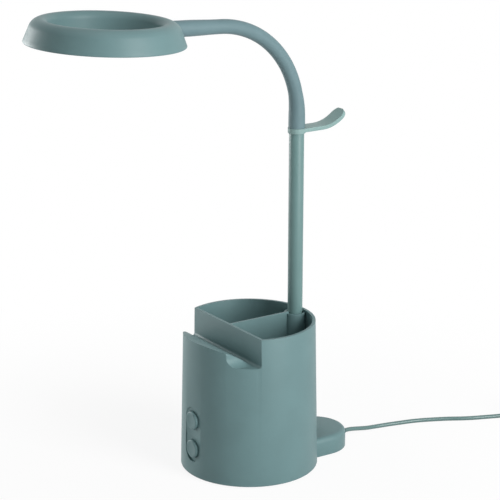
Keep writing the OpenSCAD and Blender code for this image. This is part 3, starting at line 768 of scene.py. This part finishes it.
@dataclass
class PushButton:
    """A round push button with a rounded rim and a shallow dish."""

    name: str
    body: str
    z: float
    radius: float = 8.0
    front_u: float = 60.4
    back_u: float = 53.3
    flange_u: float = 54.5
    flange_r: float = 9.4
    stem: tuple = (2.5, 52.0, 53.6)
    rim: float = 1.5
    dish: tuple = ((2.2, 0.35), (2.0, 0.12))
    rounding: float = 1.4

    def build(self) -> Piece:
        """Models the button.

        Returns:
            The button, riding on its own body.
        """
        back, front = (0, -self.back_u, self.z), (0, -self.front_u, self.z)
        cap = add_round(self.name, self.radius, back, front)
        on_face = at(y=-self.front_u)

        def on_rim(c: Vector) -> bool:
            return on_face(c) and math.hypot(c.x, c.z - self.z) > self.radius - 0.05

        with editing(cap):
            pick(cap, "FACE", on_face)
            bpy.ops.mesh.inset(thickness=self.rim * MM)
            for inset, depth in self.dish:
                bpy.ops.mesh.inset(thickness=inset * MM)
                bpy.ops.transform.translate(value=(0, depth * MM, 0))
        round_edges(cap, on_rim, self.rounding, 6)
        flange = add_round("flange", self.flange_r, back, (0, -self.flange_u, self.z))
        r, start, end = self.stem
        stem = add_round("stem", r, (0, -start, self.z), (0, -end, self.z), sides=48)
        carve(cap, flange, stem, how="UNION")
        smooth(cap)
        node = self.name.replace("_cap", "_button")
        return hand_over(cap, self.body, BODY_PLASTIC, [node])


@dataclass
class CableHousing:
    """The low housing behind the pot, and the gland where the cord leaves it."""

    pot: PotBase
    radius: float = 28.3
    middle_y: float = 70.0
    height: float = 17.7
    edge: float = 4.6
    wall: float = 2.4
    gland_z: float = 6.0
    gland_out: float = 6.2
    gland_bore: float = 3.45
    bore_end: float = 120.0
    stretch: float = 15.0

    def solid(self, name: str, inset: float, low: float, edge: float) -> Piece:
        """A block with a round end and a rounded upper edge, smaller by inset.

        Args:
            name: name of the new object.
            inset: how much smaller it is.
            low: height of its underside.
            edge: rounding of its upper edge.

        Returns:
            The block.
        """
        r, top = self.radius - inset, self.height - inset
        form = add_round(name, r, (0, self.middle_y, low), (0, self.middle_y, top), sides=128)
        with editing(form):
            pick(form, "VERT", lambda c: c.y < self.middle_y - TOUCH)
            bpy.ops.transform.translate(value=(0, -self.stretch * MM, 0))
            pick(form, "FACE", at(z=top))
            bpy.ops.mesh.region_to_loop()
            bpy.ops.mesh.bevel(offset=edge * MM, segments=8, affect="EDGES")
        return form

    def build(self) -> None:
        """Models the housing and the gland, riding on the stand."""
        shell = self.solid("cable_cover", 0.0, 1.0, self.edge)
        carve(shell, self.solid("inside", self.wall, -1.0, 1.1))
        carve(shell, self.pot.cone("pot", 0.15, -2.0, 60.0))
        tip, z = self.middle_y + self.radius, self.gland_z
        inside, outside = (0, self.middle_y, z), (0, self.bore_end, z)
        carve(shell, add_round("bore", self.gland_bore, inside, outside, sides=48))
        merge(shell, 0.02)
        break_edges(shell, 0.4)
        hand_over(shell, "stand", BODY_PLASTIC, ["cable_housing"])

        inner = tip - self.wall
        outline = [
            (0, inner - 3.6), (4.6, inner - 3.6), (4.6, inner - 0.6), (3.4, inner - 0.6),
            (3.4, tip + 1.3), (3.2, tip + 1.6), (3.2, tip + 2.0), (2.8, tip + 2.2),
            (2.8, tip + 2.8), (3.05, tip + 3.0), (2.95, tip + 3.9), (2.55, tip + 4.1),
            (2.55, tip + 4.7), (2.75, tip + 4.9), (2.6, tip + 5.8), (2.35, tip + self.gland_out),
            (0, tip + self.gland_out),
        ]
        gland = lathe("cord_gland_taper", outline, 64)
        place(gland, spot((0, 0, z), -math.pi / 2, "X"))
        smooth(gland, 40)
        hand_over(gland, "stand", DARK_PLASTIC, ["cord_gland"])


# ---- pole and hook


@dataclass
class Pole:
    """The straight steel pole."""

    y: float = 48.0
    radius: float = 6.5
    wall: float = 1.0
    low: float = 26.0
    high: float = 300.0

    def build(self) -> Piece:
        """Models the tube, riding on the stand."""
        tube = add_round("pole_tube", self.radius, (0, self.y, self.low), (0, self.y, self.high))
        inner = self.radius - self.wall
        carve(tube, add_round("inside", inner, (0, self.y, 0), (0, self.y, 400), sides=64))
        break_edges(tube, 0.3)
        return hand_over(tube, "stand", POLE_COAT, ["pole"])


@dataclass
class Hook:
    """The headphone hook: a ring round the pole and a strap that curves up behind it."""

    pole_y: float = 48.0
    ring: tuple = (7.6, 290.9, 295.3)
    bore: float = 6.55
    bore_ends: tuple = (280.0, 310.0)
    width: float = 15.2
    thick: float = 3.3
    flat: float = 22.0
    curve_r: float = 35.0
    turn: float = 50.0
    steps: int = 24
    rounding: float = 0.8

    def build(self) -> Piece:
        """Models the hook, riding on its own body.

        Returns:
            The hook.
        """
        radius, low, high = self.ring
        under = high - self.thick
        end_y = self.pole_y + self.flat
        half = self.width / 2
        strap = add_block("hook_strap", (-half, self.pole_y, under), (half, end_y, high))
        middle = (0, end_y, under + self.curve_r)
        with editing(strap):
            pick(strap, "FACE", at(y=end_y))
            bpy.ops.mesh.spin(
                steps=self.steps,
                angle=-math.radians(self.turn),
                center=metres(middle),
                axis=(1, 0, 0),
            )
        tip_turn = math.degrees(half / self.curve_r)
        tip = spot(middle, math.radians(self.turn - tip_turn), "X")
        wide, down = self.width, -self.curve_r
        waste = add_block("waste", (-wide, 0, down - 2), (wide, wide, down + 8))
        carve(waste, add_round("keep", half, (0, 0, down - 4), (0, 0, down + 10)))
        place(waste, tip)
        outward(strap)
        carve(strap, waste)
        ring = add_round("ring", radius, (0, self.pole_y, low), (0, self.pole_y, high))
        carve(strap, ring, how="UNION")
        below, above = self.bore_ends
        bore = add_round("bore", self.bore, (0, self.pole_y, below), (0, self.pole_y, above))
        carve(strap, bore)
        merge(strap, 0.02)
        soften(strap, self.rounding, 4, 40)
        smooth(strap)
        strap.name = "headphone_hook_form"
        return hand_over(strap, "hook", HOOK_PLASTIC, ["headphone_hook"])


# ---- flexible neck


@dataclass(frozen=True)
class SleeveLength:
    """One length of the neck's sleeve; places count hinge spacings from the pole."""

    first: float
    last: float
    bodies: tuple
    nodes: tuple
    hinge: float = 0.0


@dataclass
class FlexibleNeck:
    """The smooth sleeve of the neck, in lengths that reach across a hinge or meet in a ball there.
    """

    pole_y: float = 48.0
    start_z: float = 295.45
    bend_z: float = 309.0
    bend_r: float = 80.5
    angle: float = 87.07
    radius: float = 6.1
    hinges: int = 9
    reach: float = 49.6
    sides: int = 48
    rings: int = 14
    flare_rings: tuple = (10, 30)
    ball_inset: float = 0.12
    hollow_inset: float = 0.05
    dome_rings: int = 9
    dome_turn: float = 87.0
    lengths: tuple = (
        SleeveLength(0, 1, ("stand", "link_1"), ("sleeve_end",), hinge=0.5),
        SleeveLength(1, 2.5, ("link_1", "link_2"), ("neck_link_1", "neck_link_2"), hinge=1.5),
        SleeveLength(2.5, 3.5, ("link_3",), ("neck_link_3",)),
        SleeveLength(3.5, 5.5, ("link_4", "link_5"), ("neck_link_4", "neck_link_5"), hinge=4.5),
        SleeveLength(5.5, 6.5, ("link_6",), ("neck_link_6",)),
        SleeveLength(6.5, 8.5, ("link_7", "link_8"), ("neck_link_7", "neck_link_8"), hinge=7.5),
        SleeveLength(8.5, 9, ("head",), ("neck_end",)),
    )
    lower: tuple = ((295.4, 7.15), (300, 7.15), (304, 7.13), (307, 7.09), (310, 6.97), (314, 6.81),
                    (317, 6.65), (321, 6.41), (324, 6.22), (326, 6.1), (400, 6.1))
    upper: tuple = ((-200, 6.1), (5, 6.1), (12, 6.22), (20, 6.48), (27, 6.68), (31, 6.75),
                    (90, 6.75))

    @property
    def centre(self) -> tuple:
        """Middle of the bend, in millimetres."""
        return (0.0, self.pole_y - self.bend_r, self.bend_z)

    def point(self, degrees: float) -> Vector:
        """Point of the centre line, some degrees along the bend, in millimetres."""
        a = math.radians(degrees)
        return Vector(self.centre) + self.bend_r * Vector((0, math.cos(a), math.sin(a)))

    def heading(self, degrees: float) -> Vector:
        """Direction of the centre line there."""
        a = math.radians(degrees)
        return Vector((0, -math.sin(a), math.cos(a)))

    @staticmethod
    def read(table: Sequence[tuple], along: float) -> float:
        """Reads a value between the rows of a table.

        Args:
            table: rows of place and value.
            along: the place.

        Returns:
            The value there, on a straight line between rows.
        """
        for (p, v), (q, w) in zip(table, table[1:]):
            if along <= q:
                share = min(max((along - p) / (q - p), 0), 1)
                return v + (w - v) * share
        return table[-1][1]

    def swell(self, sleeve: Piece) -> None:
        """Moves each corner out or in, so that the sleeve has its flares.

        Args:
            sleeve: one length of the neck.
        """
        end, ahead = self.point(self.angle), self.heading(self.angle)
        for vert in sleeve.data.vertices:
            here = vert.co / MM
            along = (here - end).dot(ahead)
            if here.z < self.bend_z and here.y > 0:
                on_line = Vector((0, self.pole_y, here.z))
                size = self.read(self.lower, here.z)
            elif along > 0 and here.y < end.y + 8:
                on_line = end + ahead * along
                size = self.read(self.upper, along)
            else:
                a = math.atan2(here.z - self.centre[2], here.y - self.centre[1])
                on_line = self.point(math.degrees(a))
                size = self.read(self.lower, self.bend_z + self.bend_r * a)
            out = here - on_line
            if out.length > 1:
                vert.co = (on_line + out.normalized() * size) * MM

    def turn(self, place: float) -> float:
        """Degrees along the bend at a place that counts hinge spacings."""
        return self.angle * place / self.hinges

    @staticmethod
    def stretch(step: Vector) -> None:
        """Extrudes the selected ring of an edited sleeve by a step in millimetres."""
        bpy.ops.mesh.extrude_region_move(TRANSFORM_OT_translate={"value": metres(step)})

    def dome(self, sleeve: Piece, place: float, inset: float) -> None:
        """Ends a length in half a ball about the hinge, or in the hollow that takes one.

        Args:
            sleeve: the length of sleeve.
            place: place of the hinge, at one end of the length.
            inset: how far the ball lies inside the sleeve's outside, in millimetres.
        """
        middle, ahead = self.point(self.turn(place)), self.heading(self.turn(place))
        here, size = 0.0, self.radius
        with editing(sleeve):
            pick(sleeve, "VERT", lambda c: abs((c - middle).dot(ahead)) < TOUCH)
            for k in range(self.dome_rings + 1):
                a = math.radians(self.dome_turn * k / self.dome_rings)
                there = (self.radius - inset) * math.sin(a)
                new_size = (self.radius - inset) * math.cos(a)
                self.stretch(ahead * (there - here))
                bpy.ops.transform.resize(
                    value=(new_size / size,) * 3, center_override=metres(middle + ahead * there)
                )
                here, size = there, new_size

    def length(self, number: int, part: SleeveLength) -> Piece:
        """Models one length.

        Args:
            number: its number, from 1 at the pole.
            part: where it starts and ends.

        Returns:
            The length of sleeve.
        """
        first, last = self.turn(part.first), self.turn(part.last)
        clear_selection()
        bpy.ops.mesh.primitive_circle_add(
            vertices=self.sides,
            radius=self.radius * MM,
            location=metres(self.point(first)),
            rotation=(math.radians(first), 0, 0),
        )
        sleeve = named(f"neck_sleeve_{number}")
        with editing(sleeve):
            select_all()
            bpy.ops.mesh.spin(
                steps=round(self.rings * (part.last - part.first)),
                angle=-math.radians(last - first),
                center=metres(self.centre),
                axis=(1, 0, 0),
            )
            below, beyond = self.flare_rings
            if part.last == self.hinges:
                for _ in range(beyond):
                    self.stretch(self.heading(self.angle) * self.reach / beyond)
            if part.first == 0:
                pick(sleeve, "VERT", at(z=self.bend_z))
                for _ in range(below):
                    self.stretch(Vector((0, 0, (self.start_z - self.bend_z) / below)))
        self.swell(sleeve)
        if part.last % 1:
            self.dome(sleeve, part.last, self.ball_inset)
        if part.first % 1:
            self.dome(sleeve, part.first, self.hollow_inset)
        with editing(sleeve):
            bpy.ops.mesh.select_mode(type="EDGE")
            select_all("DESELECT")
            bpy.ops.mesh.select_non_manifold()
            bpy.ops.mesh.fill_holes(sides=self.sides + 1)
        outward(sleeve)
        smooth(sleeve, 40)
        return sleeve

    def build(self) -> None:
        """Models all lengths; each rides on its body, except a length across a hinge, which is left
        on no body.
        """
        for number, part in enumerate(self.lengths, 1):
            sleeve = self.length(number, part)
            rides_on = "" if part.hinge else part.bodies[0]
            hand_over(sleeve, rides_on, SLEEVE, list(part.nodes))
            if part.hinge:
                tuple(metres(self.point(self.turn(part.hinge - 0.5))))
                tuple(metres(self.point(self.turn(part.hinge + 0.5))))
                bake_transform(sleeve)


# ---- ring head


@dataclass
class RingHead:
    """The ring-shaped housing and its diffuser."""

    neck: FlexibleNeck
    neck_len: float = 108.8
    axis_z: float = 9.0
    edge_r: float = 65.2
    bore_r: float = 43.5
    crest_r: float = 51.05
    crest_z: float = 19.2
    outer_arc: float = 9.75
    inner_arc: float = 6.0
    wall: float = 1.8
    lip: float = 0.8
    lip_in: float = 1.15
    lead_bore: tuple = (3.55, 40.0, 57.0)
    gap: tuple = (0.45, 1.35)

    def matrix(self) -> Matrix:
        """Place of the head: the middle of its lower face, and its tilt."""
        ahead = self.neck.heading(self.neck.angle)
        tilt = 90 - self.neck.angle
        up = Vector((0, math.sin(math.radians(tilt)), math.cos(math.radians(tilt))))
        middle = self.neck.point(self.neck.angle) + ahead * self.neck_len - up * self.axis_z
        return spot(middle, -math.radians(tilt), "X")

    def side(self, inset: float) -> list[tuple]:
        """The section's outside from the outer edge over the crest to the bore.

        Args:
            inset: distance inside the surface.

        Returns:
            Points as (radius, height).
        """
        r = self.outer_arc - inset
        centre = (self.crest_r, self.crest_z - self.outer_arc)
        from_edge = math.atan2(-centre[1], self.edge_r - centre[0])
        reach = math.hypot(self.edge_r - centre[0], centre[1])
        touch = math.degrees(from_edge + math.acos(self.outer_arc / reach))
        lean = math.tan(math.radians(touch))
        base = centre[0] + r / math.cos(math.radians(touch))
        over = arc(centre, r, touch, 90, 14)
        inner_c = (self.crest_r, self.crest_z - self.inner_arc)
        down = arc(inner_c, self.inner_arc - inset, 90, 180, 12)
        flank = [(base + (centre[1] - z) * lean, z) for z in (0.0, 4.0, 8.0)]
        return flank + over + down[1:]

    def build(self) -> None:
        """Models the housing and the diffuser, riding on the head."""
        outside = self.side(0.0)
        edge = outside[0]
        outside = arc((edge[0] - self.lip_in, self.lip), self.lip, -90, 10, 5) + outside[1:]
        bore_foot = arc((self.bore_r + self.lip, self.lip), self.lip, 180, 270, 4)
        inside = self.side(self.wall)
        inside[0] = (inside[0][0], 0.0)
        hollow = [(self.bore_r + self.wall, 0.0)]
        shell = lathe("ring_housing", outside + bore_foot + hollow + inside[::-1], 160)
        smooth(shell, 35)
        place(shell, self.matrix())
        end, ahead = self.neck.point(self.neck.angle), self.neck.heading(self.neck.angle)
        r, first, last = self.lead_bore
        carve(shell, add_round("bore", r, end + ahead * first, end + ahead * last, sides=48))
        smooth(shell, 35)
        hand_over(shell, "head", BODY_PLASTIC, ["head_shell"])

        inner, outer = self.bore_r + self.wall + self.gap[0], self.edge_r - self.wall - self.gap[1]
        face = [
            (inner, 2.6), (inner, 1.1), (inner + 0.5, 0.6), (inner + 3, 0.6), (outer - 3, 0.6),
            (outer - 0.5, 0.6), (outer, 1.1), (outer - 0.4, 2.6),
        ]
        diffuser = lathe("ring_diffuser", face, 160)
        smooth(diffuser, 30)
        place(diffuser, self.matrix())
        hand_over(diffuser, "head", OPAL, ["diffuser"])


# ---- cord, coil and plug


@dataclass
class SupplyCord:
    """The supply cord: a stretch on the desk, a neat coil held by a tie, and its plug."""

    diameter: float = 3.8
    length: float = 1500.6
    pitch: float = 4.3
    turns: float = 9.36
    middle_r: float = 21.4
    layers: int = 4
    tie: float = 0.8
    tie_half: float = 4.0
    tie_slack: float = 0.7
    tie_turn: float = -math.pi / 3
    plug: tuple = (32.0, 15.5, 8.0)
    grooves: tuple = (5, 6.0, 2.6, 1.1, 0.5)
    seat: float = 6.0
    mouth: tuple = (6.05, 2.3)
    metal: tuple = (12.0, 6.0, 2.25)
    hollow: tuple = (5.6, 1.85)
    windows: tuple = (2.6, 1.1, 5.0, 7.4)
    tongue: tuple = (11.0, 5.55, 1.8)
    steps: int = 24
    between: int = 3
    route: list = field(
        default_factory=lambda: [
            (0, 104.5, 6), (0, 110, 6), (0, 116, 5.2), (0, 123, 4), (0, 131, 2.8), (0, 140, 2),
            (2, 152, 1.9), (5, 165, 1.9), (8, 177, 1.9), (12, 188, 1.9), (17, 199, 1.9),
            (22, 209, 1.9), (28, 219, 1.9), (33, 229, 1.9), (37, 239, 1.9), (41, 249, 1.9),
            (44, 258, 1.9), (46, 266, 2.2), (47, 273, 2.7), (47, 278, 2.8), (47, 282, 2.8),
        ]
    )

    def __post_init__(self) -> None:
        """Works out the coil's own sizes."""
        self.layer_turns = self.turns / self.layers
        self.r_in = self.middle_r - self.layer_turns * self.pitch / 2
        self.r_out = self.middle_r + self.layer_turns * self.pitch / 2
        self.low_z = self.tie + 0.1 + self.diameter / 2
        last = self.route[-1]
        self.centre = (last[0] + self.r_out, last[1] + self.diameter)

    def coil_point(self, t: float) -> Vector:
        """Point of the coil after t turns, in millimetres."""
        share = t / self.layer_turns
        layer = math.floor(share)
        swing = (share - layer) * self.layer_turns * self.pitch
        radius = self.r_out - swing if layer % 2 == 0 else self.r_in + swing
        near = math.floor(share + 0.5)
        if near in (0, self.layers):
            height = max(near - 1, 0)
        else:
            height = near - 1 + min(max(0, 2 * (t - near * self.layer_turns) + 0.5), 1)
        a = math.radians(180 - 360 * t)
        return Vector(
            (
                self.centre[0] + radius * math.cos(a),
                self.centre[1] + radius * math.sin(a),
                self.low_z + height * self.pitch,
            )
        )

    def coil_heading(self, t: float) -> Vector:
        """Direction of the cord after t turns."""
        a = math.radians(180 - 360 * t)
        return Vector((math.sin(a), -math.cos(a), 0))

    def tail(self) -> list[Vector]:
        """Points from the coil down to the plug."""
        start = self.coil_point(self.turns) + self.coil_heading(self.turns) * self.diameter
        ahead = self.coil_heading(self.turns)
        drop = start.z - self.plug[2] / 2
        fall = [(0, 0), (4, 0), (12, 0.7), (20, 3.2), (28, 7), (36, 10.4), (42, drop), (48, drop)]
        return [start + ahead * along - Vector((0, 0, down)) for along, down in fall]

    def path(self) -> list[Vector]:
        """The whole centre line in millimetres, close together and smooth."""
        run = [Vector(p) for p in self.route]
        rings = math.ceil(self.turns * self.steps)
        coil = [self.coil_point(self.turns * i / rings) for i in range(rings + 1)]
        corners = run + coil + self.tail()
        line: list[Vector] = []
        for i in range(len(corners) - 1):
            p1, p2 = corners[i], corners[i + 1]
            p0 = corners[i - 1] if i else p1 * 2 - p2
            p3 = corners[i + 2] if i + 2 < len(corners) else p2 * 2 - p1
            for j in range(self.between):
                t = j / self.between
                line.append(
                    0.5
                    * (
                        2 * p1
                        + (p2 - p0) * t
                        + (2 * p0 - 5 * p1 + 4 * p2 - p3) * t * t
                        + (3 * p1 - p0 - 3 * p2 + p3) * t**3
                    )
                )
        return line + [corners[-1]]

    def lead(self) -> Piece:
        """Draws the cord as one round curve along its path."""
        points = self.path()
        data = bpy.data.curves.new("supply_cord", "CURVE")
        data.dimensions = "3D"
        data.bevel_depth = self.diameter / 2 * MM
        data.bevel_resolution = 4
        data.use_fill_caps = True
        spline = data.splines.new("POLY")
        spline.points.add(len(points) - 1)
        for target, point in zip(spline.points, points):
            target.co = (*metres(point), 1.0)
        return add_object("supply_cord", data)

    def plug_pieces(self) -> list[Piece]:
        """Models the plug's body, its metal shell and its tongue.

        Returns:
            The three pieces.
        """
        long, wide, thick = self.plug
        end = self.tail()[-1]
        ahead = self.coil_heading(self.turns)
        body = add_block("plug_grip", (0, -wide / 2, -thick / 2), (long, wide / 2, thick / 2))
        count, first, apart, broad, deep = self.grooves
        for i in range(count):
            x = first + apart * i
            for side in (-1, 1):
                low, high = sorted((side * wide / 2 * 1.2, side * (wide / 2 - deep)))
                carve(body, add_block("groove", (x, low, -thick), (x + broad, high, thick)))
        root = long - self.seat
        y, z = self.mouth
        carve(body, add_block("mouth", (root, -y, -z), (long + 1, y, z)))
        break_edges(body, 0.45)
        out, y, z = self.metal
        shell = add_block("plug_metal", (root, -y, -z), (long + out, y, z))
        y, z = self.hollow
        carve(shell, add_block("inside", (root - 1, -y, -z), (long + out + 2, y, z)))
        off, half, first, last = self.windows
        for y in (-off, off):
            low, high = (long + first, y - half, 1.0), (long + last, y + half, 3.0)
            carve(shell, add_block("window", low, high))
        break_edges(shell, 0.12)
        out, y, z = self.tongue
        tongue = add_block("plug_insert", (root, -y, 0.0), (long + out, y, z))
        break_edges(tongue, 0.2)
        for piece in (body, shell, tongue):
            place(piece, spot(end, math.atan2(ahead.y, ahead.x), "Z"))
        hand_over(body, "stand", PLUG_PLASTIC, ["plug_body"])
        hand_over(shell, "stand", NICKEL, ["plug_shell"])
        hand_over(tongue, "stand", NYLON_IVORY, ["plug_tongue"])
        return [body, shell, tongue]

    def band(self) -> Piece:
        """Models the tie round the coil's turns."""
        tie, half = self.tie, self.tie_half
        r0 = self.r_in - self.diameter / 2 - self.tie_slack
        r1 = self.r_out + self.diameter / 2 + self.tie_slack
        high = 2 * self.low_z + (self.layers - 1) * self.pitch
        band = add_block("coil_band", (r0 - tie, -half, 0), (r1 + tie, half, high))
        carve(band, add_block("inside", (r0, -half - 2, tie), (r1, half + 2, high - tie)))
        break_edges(band, 0.3)
        place(band, spot((*self.centre, 0), self.tie_turn, "Z"))
        return hand_over(band, "stand", NYLON_BLACK, ["coil_tie"])

    def build(self) -> None:
        cord = self.lead()
        hand_over(cord, "stand", CORD_JACKET, ["cord_run", "cord_coil", "cord_tail"])
        pieces = self.plug_pieces() + [self.band()]


# ---- hidden pieces


class HiddenPieces:
    """The nodes of the frame that keep their shape and only get their finish."""

    finishes = {
        DARK_PLASTIC: ("base_plate", "pole_bush"),
        RUBBER: ("rubber_pad", "rear_pad"),
        WEIGHT: ("counterweight",),
        ZINC: (
            "weight_screws", "base_screws", "housing_screws", "board_screws", "led_screws",
            "pole_collar", "pole_washer", "pole_nut", "neck_nut",
        ),
        LEAD_JACKET: ("supply_lead", "pole_lead", "head_lead"),
        BOARD_GREEN: ("control_board",),
        NYLON_BLACK: ("switch_bodies",),
        NYLON_IVORY: ("power_plunger", "dimmer_plunger"),
        BOARD_WHITE: ("led_board",),
        PHOSPHOR: ("led_chips",),
    }

    def build(self) -> None:
        """Dresses each of them."""
        for finish, names in self.finishes.items():
            for name in names:
                PAINT.dress(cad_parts[name], finish)


# ---- studio


@dataclass
class Studio:
    """The camera at the photograph's angle, a pale floor and soft light."""

    stand_at: tuple = (1314.5, -882.2, 666.0)
    azimuth: float = 56.12
    elevation: float = 16.59
    roll: float = 0.14
    focal_px: float = 1936.1
    picture_px: float = 500.0
    sensor: float = 36.0
    aim_z: float = 0.2
    sky_light: float = 0.17
    floor_size: float = 12.0
    paper: tuple = (0.8, 0.8, 0.8, 1.0)
    fade: tuple = (0.1, 0.5, 0.9, 1.0)
    lights: tuple = (
        ("key", 104.0, 18.0, 1.7, (0.8, 1.4), 33.0),
        ("left", -65.0, 5.0, 1.7, (1.0, 0.5), 17.0),
        ("top", 20.0, 80.0, 1.6, (1.2, 1.2), 4.5),
    )

    @staticmethod
    def outwards(around: float, above: float) -> Vector:
        """Direction at an angle from the front towards the right, and an angle above the desk."""
        a, e = math.radians(around), math.radians(above)
        return Vector((math.sin(a) * math.cos(e), -math.cos(a) * math.cos(e), math.sin(e)))

    def camera(self) -> None:
        """Adds the camera and makes it the scene's."""
        r = math.radians(self.roll)
        back = self.outwards(self.azimuth, self.elevation)
        right = (-back).cross(Vector((0, 0, 1))).normalized()
        up = right.cross(-back)
        right, up = right * math.cos(r) + up * math.sin(r), up * math.cos(r) - right * math.sin(r)
        data = bpy.data.cameras.new("camera")
        data.sensor_fit = "HORIZONTAL"
        data.sensor_width = self.sensor
        data.lens = self.focal_px * self.sensor / self.picture_px
        data.clip_end = 20.0
        camera = add_object("camera", data)
        turn = Matrix((right, up, back)).transposed().to_4x4()
        camera.matrix_world = Matrix.Translation(metres(self.stand_at)) @ turn
        bpy.context.scene.camera = camera

    def softbox(
        self, name: str, around: float, above: float, away: float, size: Point, power: float
    ) -> None:
        """Adds a soft light that faces the lamp.

        Args:
            name: its name.
            around: its angle from the front towards the right, in degrees.
            above: its angle above the desk, in degrees.
            away: its distance in metres.
            size: its width and height in metres.
            power: its power in watts.
        """
        data = bpy.data.lights.new(name, "AREA")
        data.shape = "RECTANGLE"
        data.size, data.size_y = size
        data.energy = power
        offset = self.outwards(around, above) * away
        light = add_object(name, data)
        light.location = Vector((0, 0, self.aim_z)) + offset
        light.rotation_euler = (-offset).to_track_quat("-Z", "Y").to_euler()

    def white_for_eyes(self, tree: bpy.types.NodeTree) -> bpy.types.NodeSocket:
        """Says where a ray comes from the camera, a mirror or a glass."""
        rays = add_node(tree, "LightPath").outputs
        seen = rays["Is Camera Ray"]
        for other in ("Is Transmission Ray", "Is Glossy Ray"):
            seen = add_node(tree, "Math", {0: seen, 1: rays[other]}, operation="MAXIMUM").outputs[0]
        return seen

    def world(self) -> None:
        """Sets a white background over a dimmer, even sky."""
        world = bpy.data.worlds.new("studio")
        bpy.context.scene.world = world
        world.use_nodes = True
        tree = world.node_tree
        tree.nodes.clear()
        sky = add_node(tree, "Background", {"Color": WHITE, "Strength": self.sky_light})
        white = add_node(tree, "Background", {"Color": WHITE, "Strength": 1.0})
        parts = {0: self.white_for_eyes(tree), 1: sky.outputs[0], 2: white.outputs[0]}
        mixed = add_node(tree, "MixShader", parts)
        add_node(tree, "OutputWorld", {"Surface": mixed.outputs[0]})

    def floor(self) -> None:
        """Adds a large pale floor that keeps a faint shadow near the lamp and is white far off."""
        clear_selection()
        bpy.ops.mesh.primitive_plane_add(size=self.floor_size, location=(0, 0, -0.0002))
        floor = named("floor")
        material = bpy.data.materials.new("Matt white paper sweep")
        material.use_nodes = True
        tree = material.node_tree
        tree.nodes.clear()
        paper = add_node(tree, "BsdfDiffuse", {"Color": self.paper, "Roughness": 1.0})
        glow = add_node(tree, "Emission", {"Color": WHITE, "Strength": 1.0})
        seen_at = add_node(tree, "NewGeometry").outputs["Position"]
        away = add_node(tree, "VectorMath", {0: seen_at}, operation="LENGTH").outputs["Value"]
        near, far, least, most = self.fade
        white = add_node(
            tree,
            "MapRange",
            {0: away, 1: near, 2: far, 3: least, 4: most},
            interpolation_type="SMOOTHSTEP",
        )
        share = add_node(
            tree,
            "Math",
            {0: self.white_for_eyes(tree), 1: white.outputs[0]},
            operation="MULTIPLY",
        )
        parts = {0: share.outputs[0], 1: paper.outputs[0], 2: glow.outputs[0]}
        mixed = add_node(tree, "MixShader", parts)
        add_node(tree, "OutputMaterial", {"Surface": mixed.outputs[0]})
        floor.data.materials.append(material)

    def build(self) -> None:
        """Sets up everything round the lamp."""
        bpy.context.scene.view_settings.view_transform = "Standard"
        self.camera()
        self.world()
        self.floor()
        for light in self.lights:
            self.softbox(*light)


def main() -> None:
    """Builds the lamp, piece by piece, in the order of its assembly."""
    logging.basicConfig(level=logging.INFO, format="%(name)s: %(message)s")
    Studio().build()
    SupplyCord().build()
    pot = PotBase()
    pot.build()
    low, high = pot.button_z
    PushButton("power_cap", "power_key", high).build()
    PushButton("dimmer_cap", "dimmer_key", low).build()
    CableHousing(pot).build()
    Pole().build()
    Hook().build()
    neck = FlexibleNeck()
    neck.build()
    RingHead(neck).build()
    HiddenPieces().build()


if __name__ == "__main__":
    main()
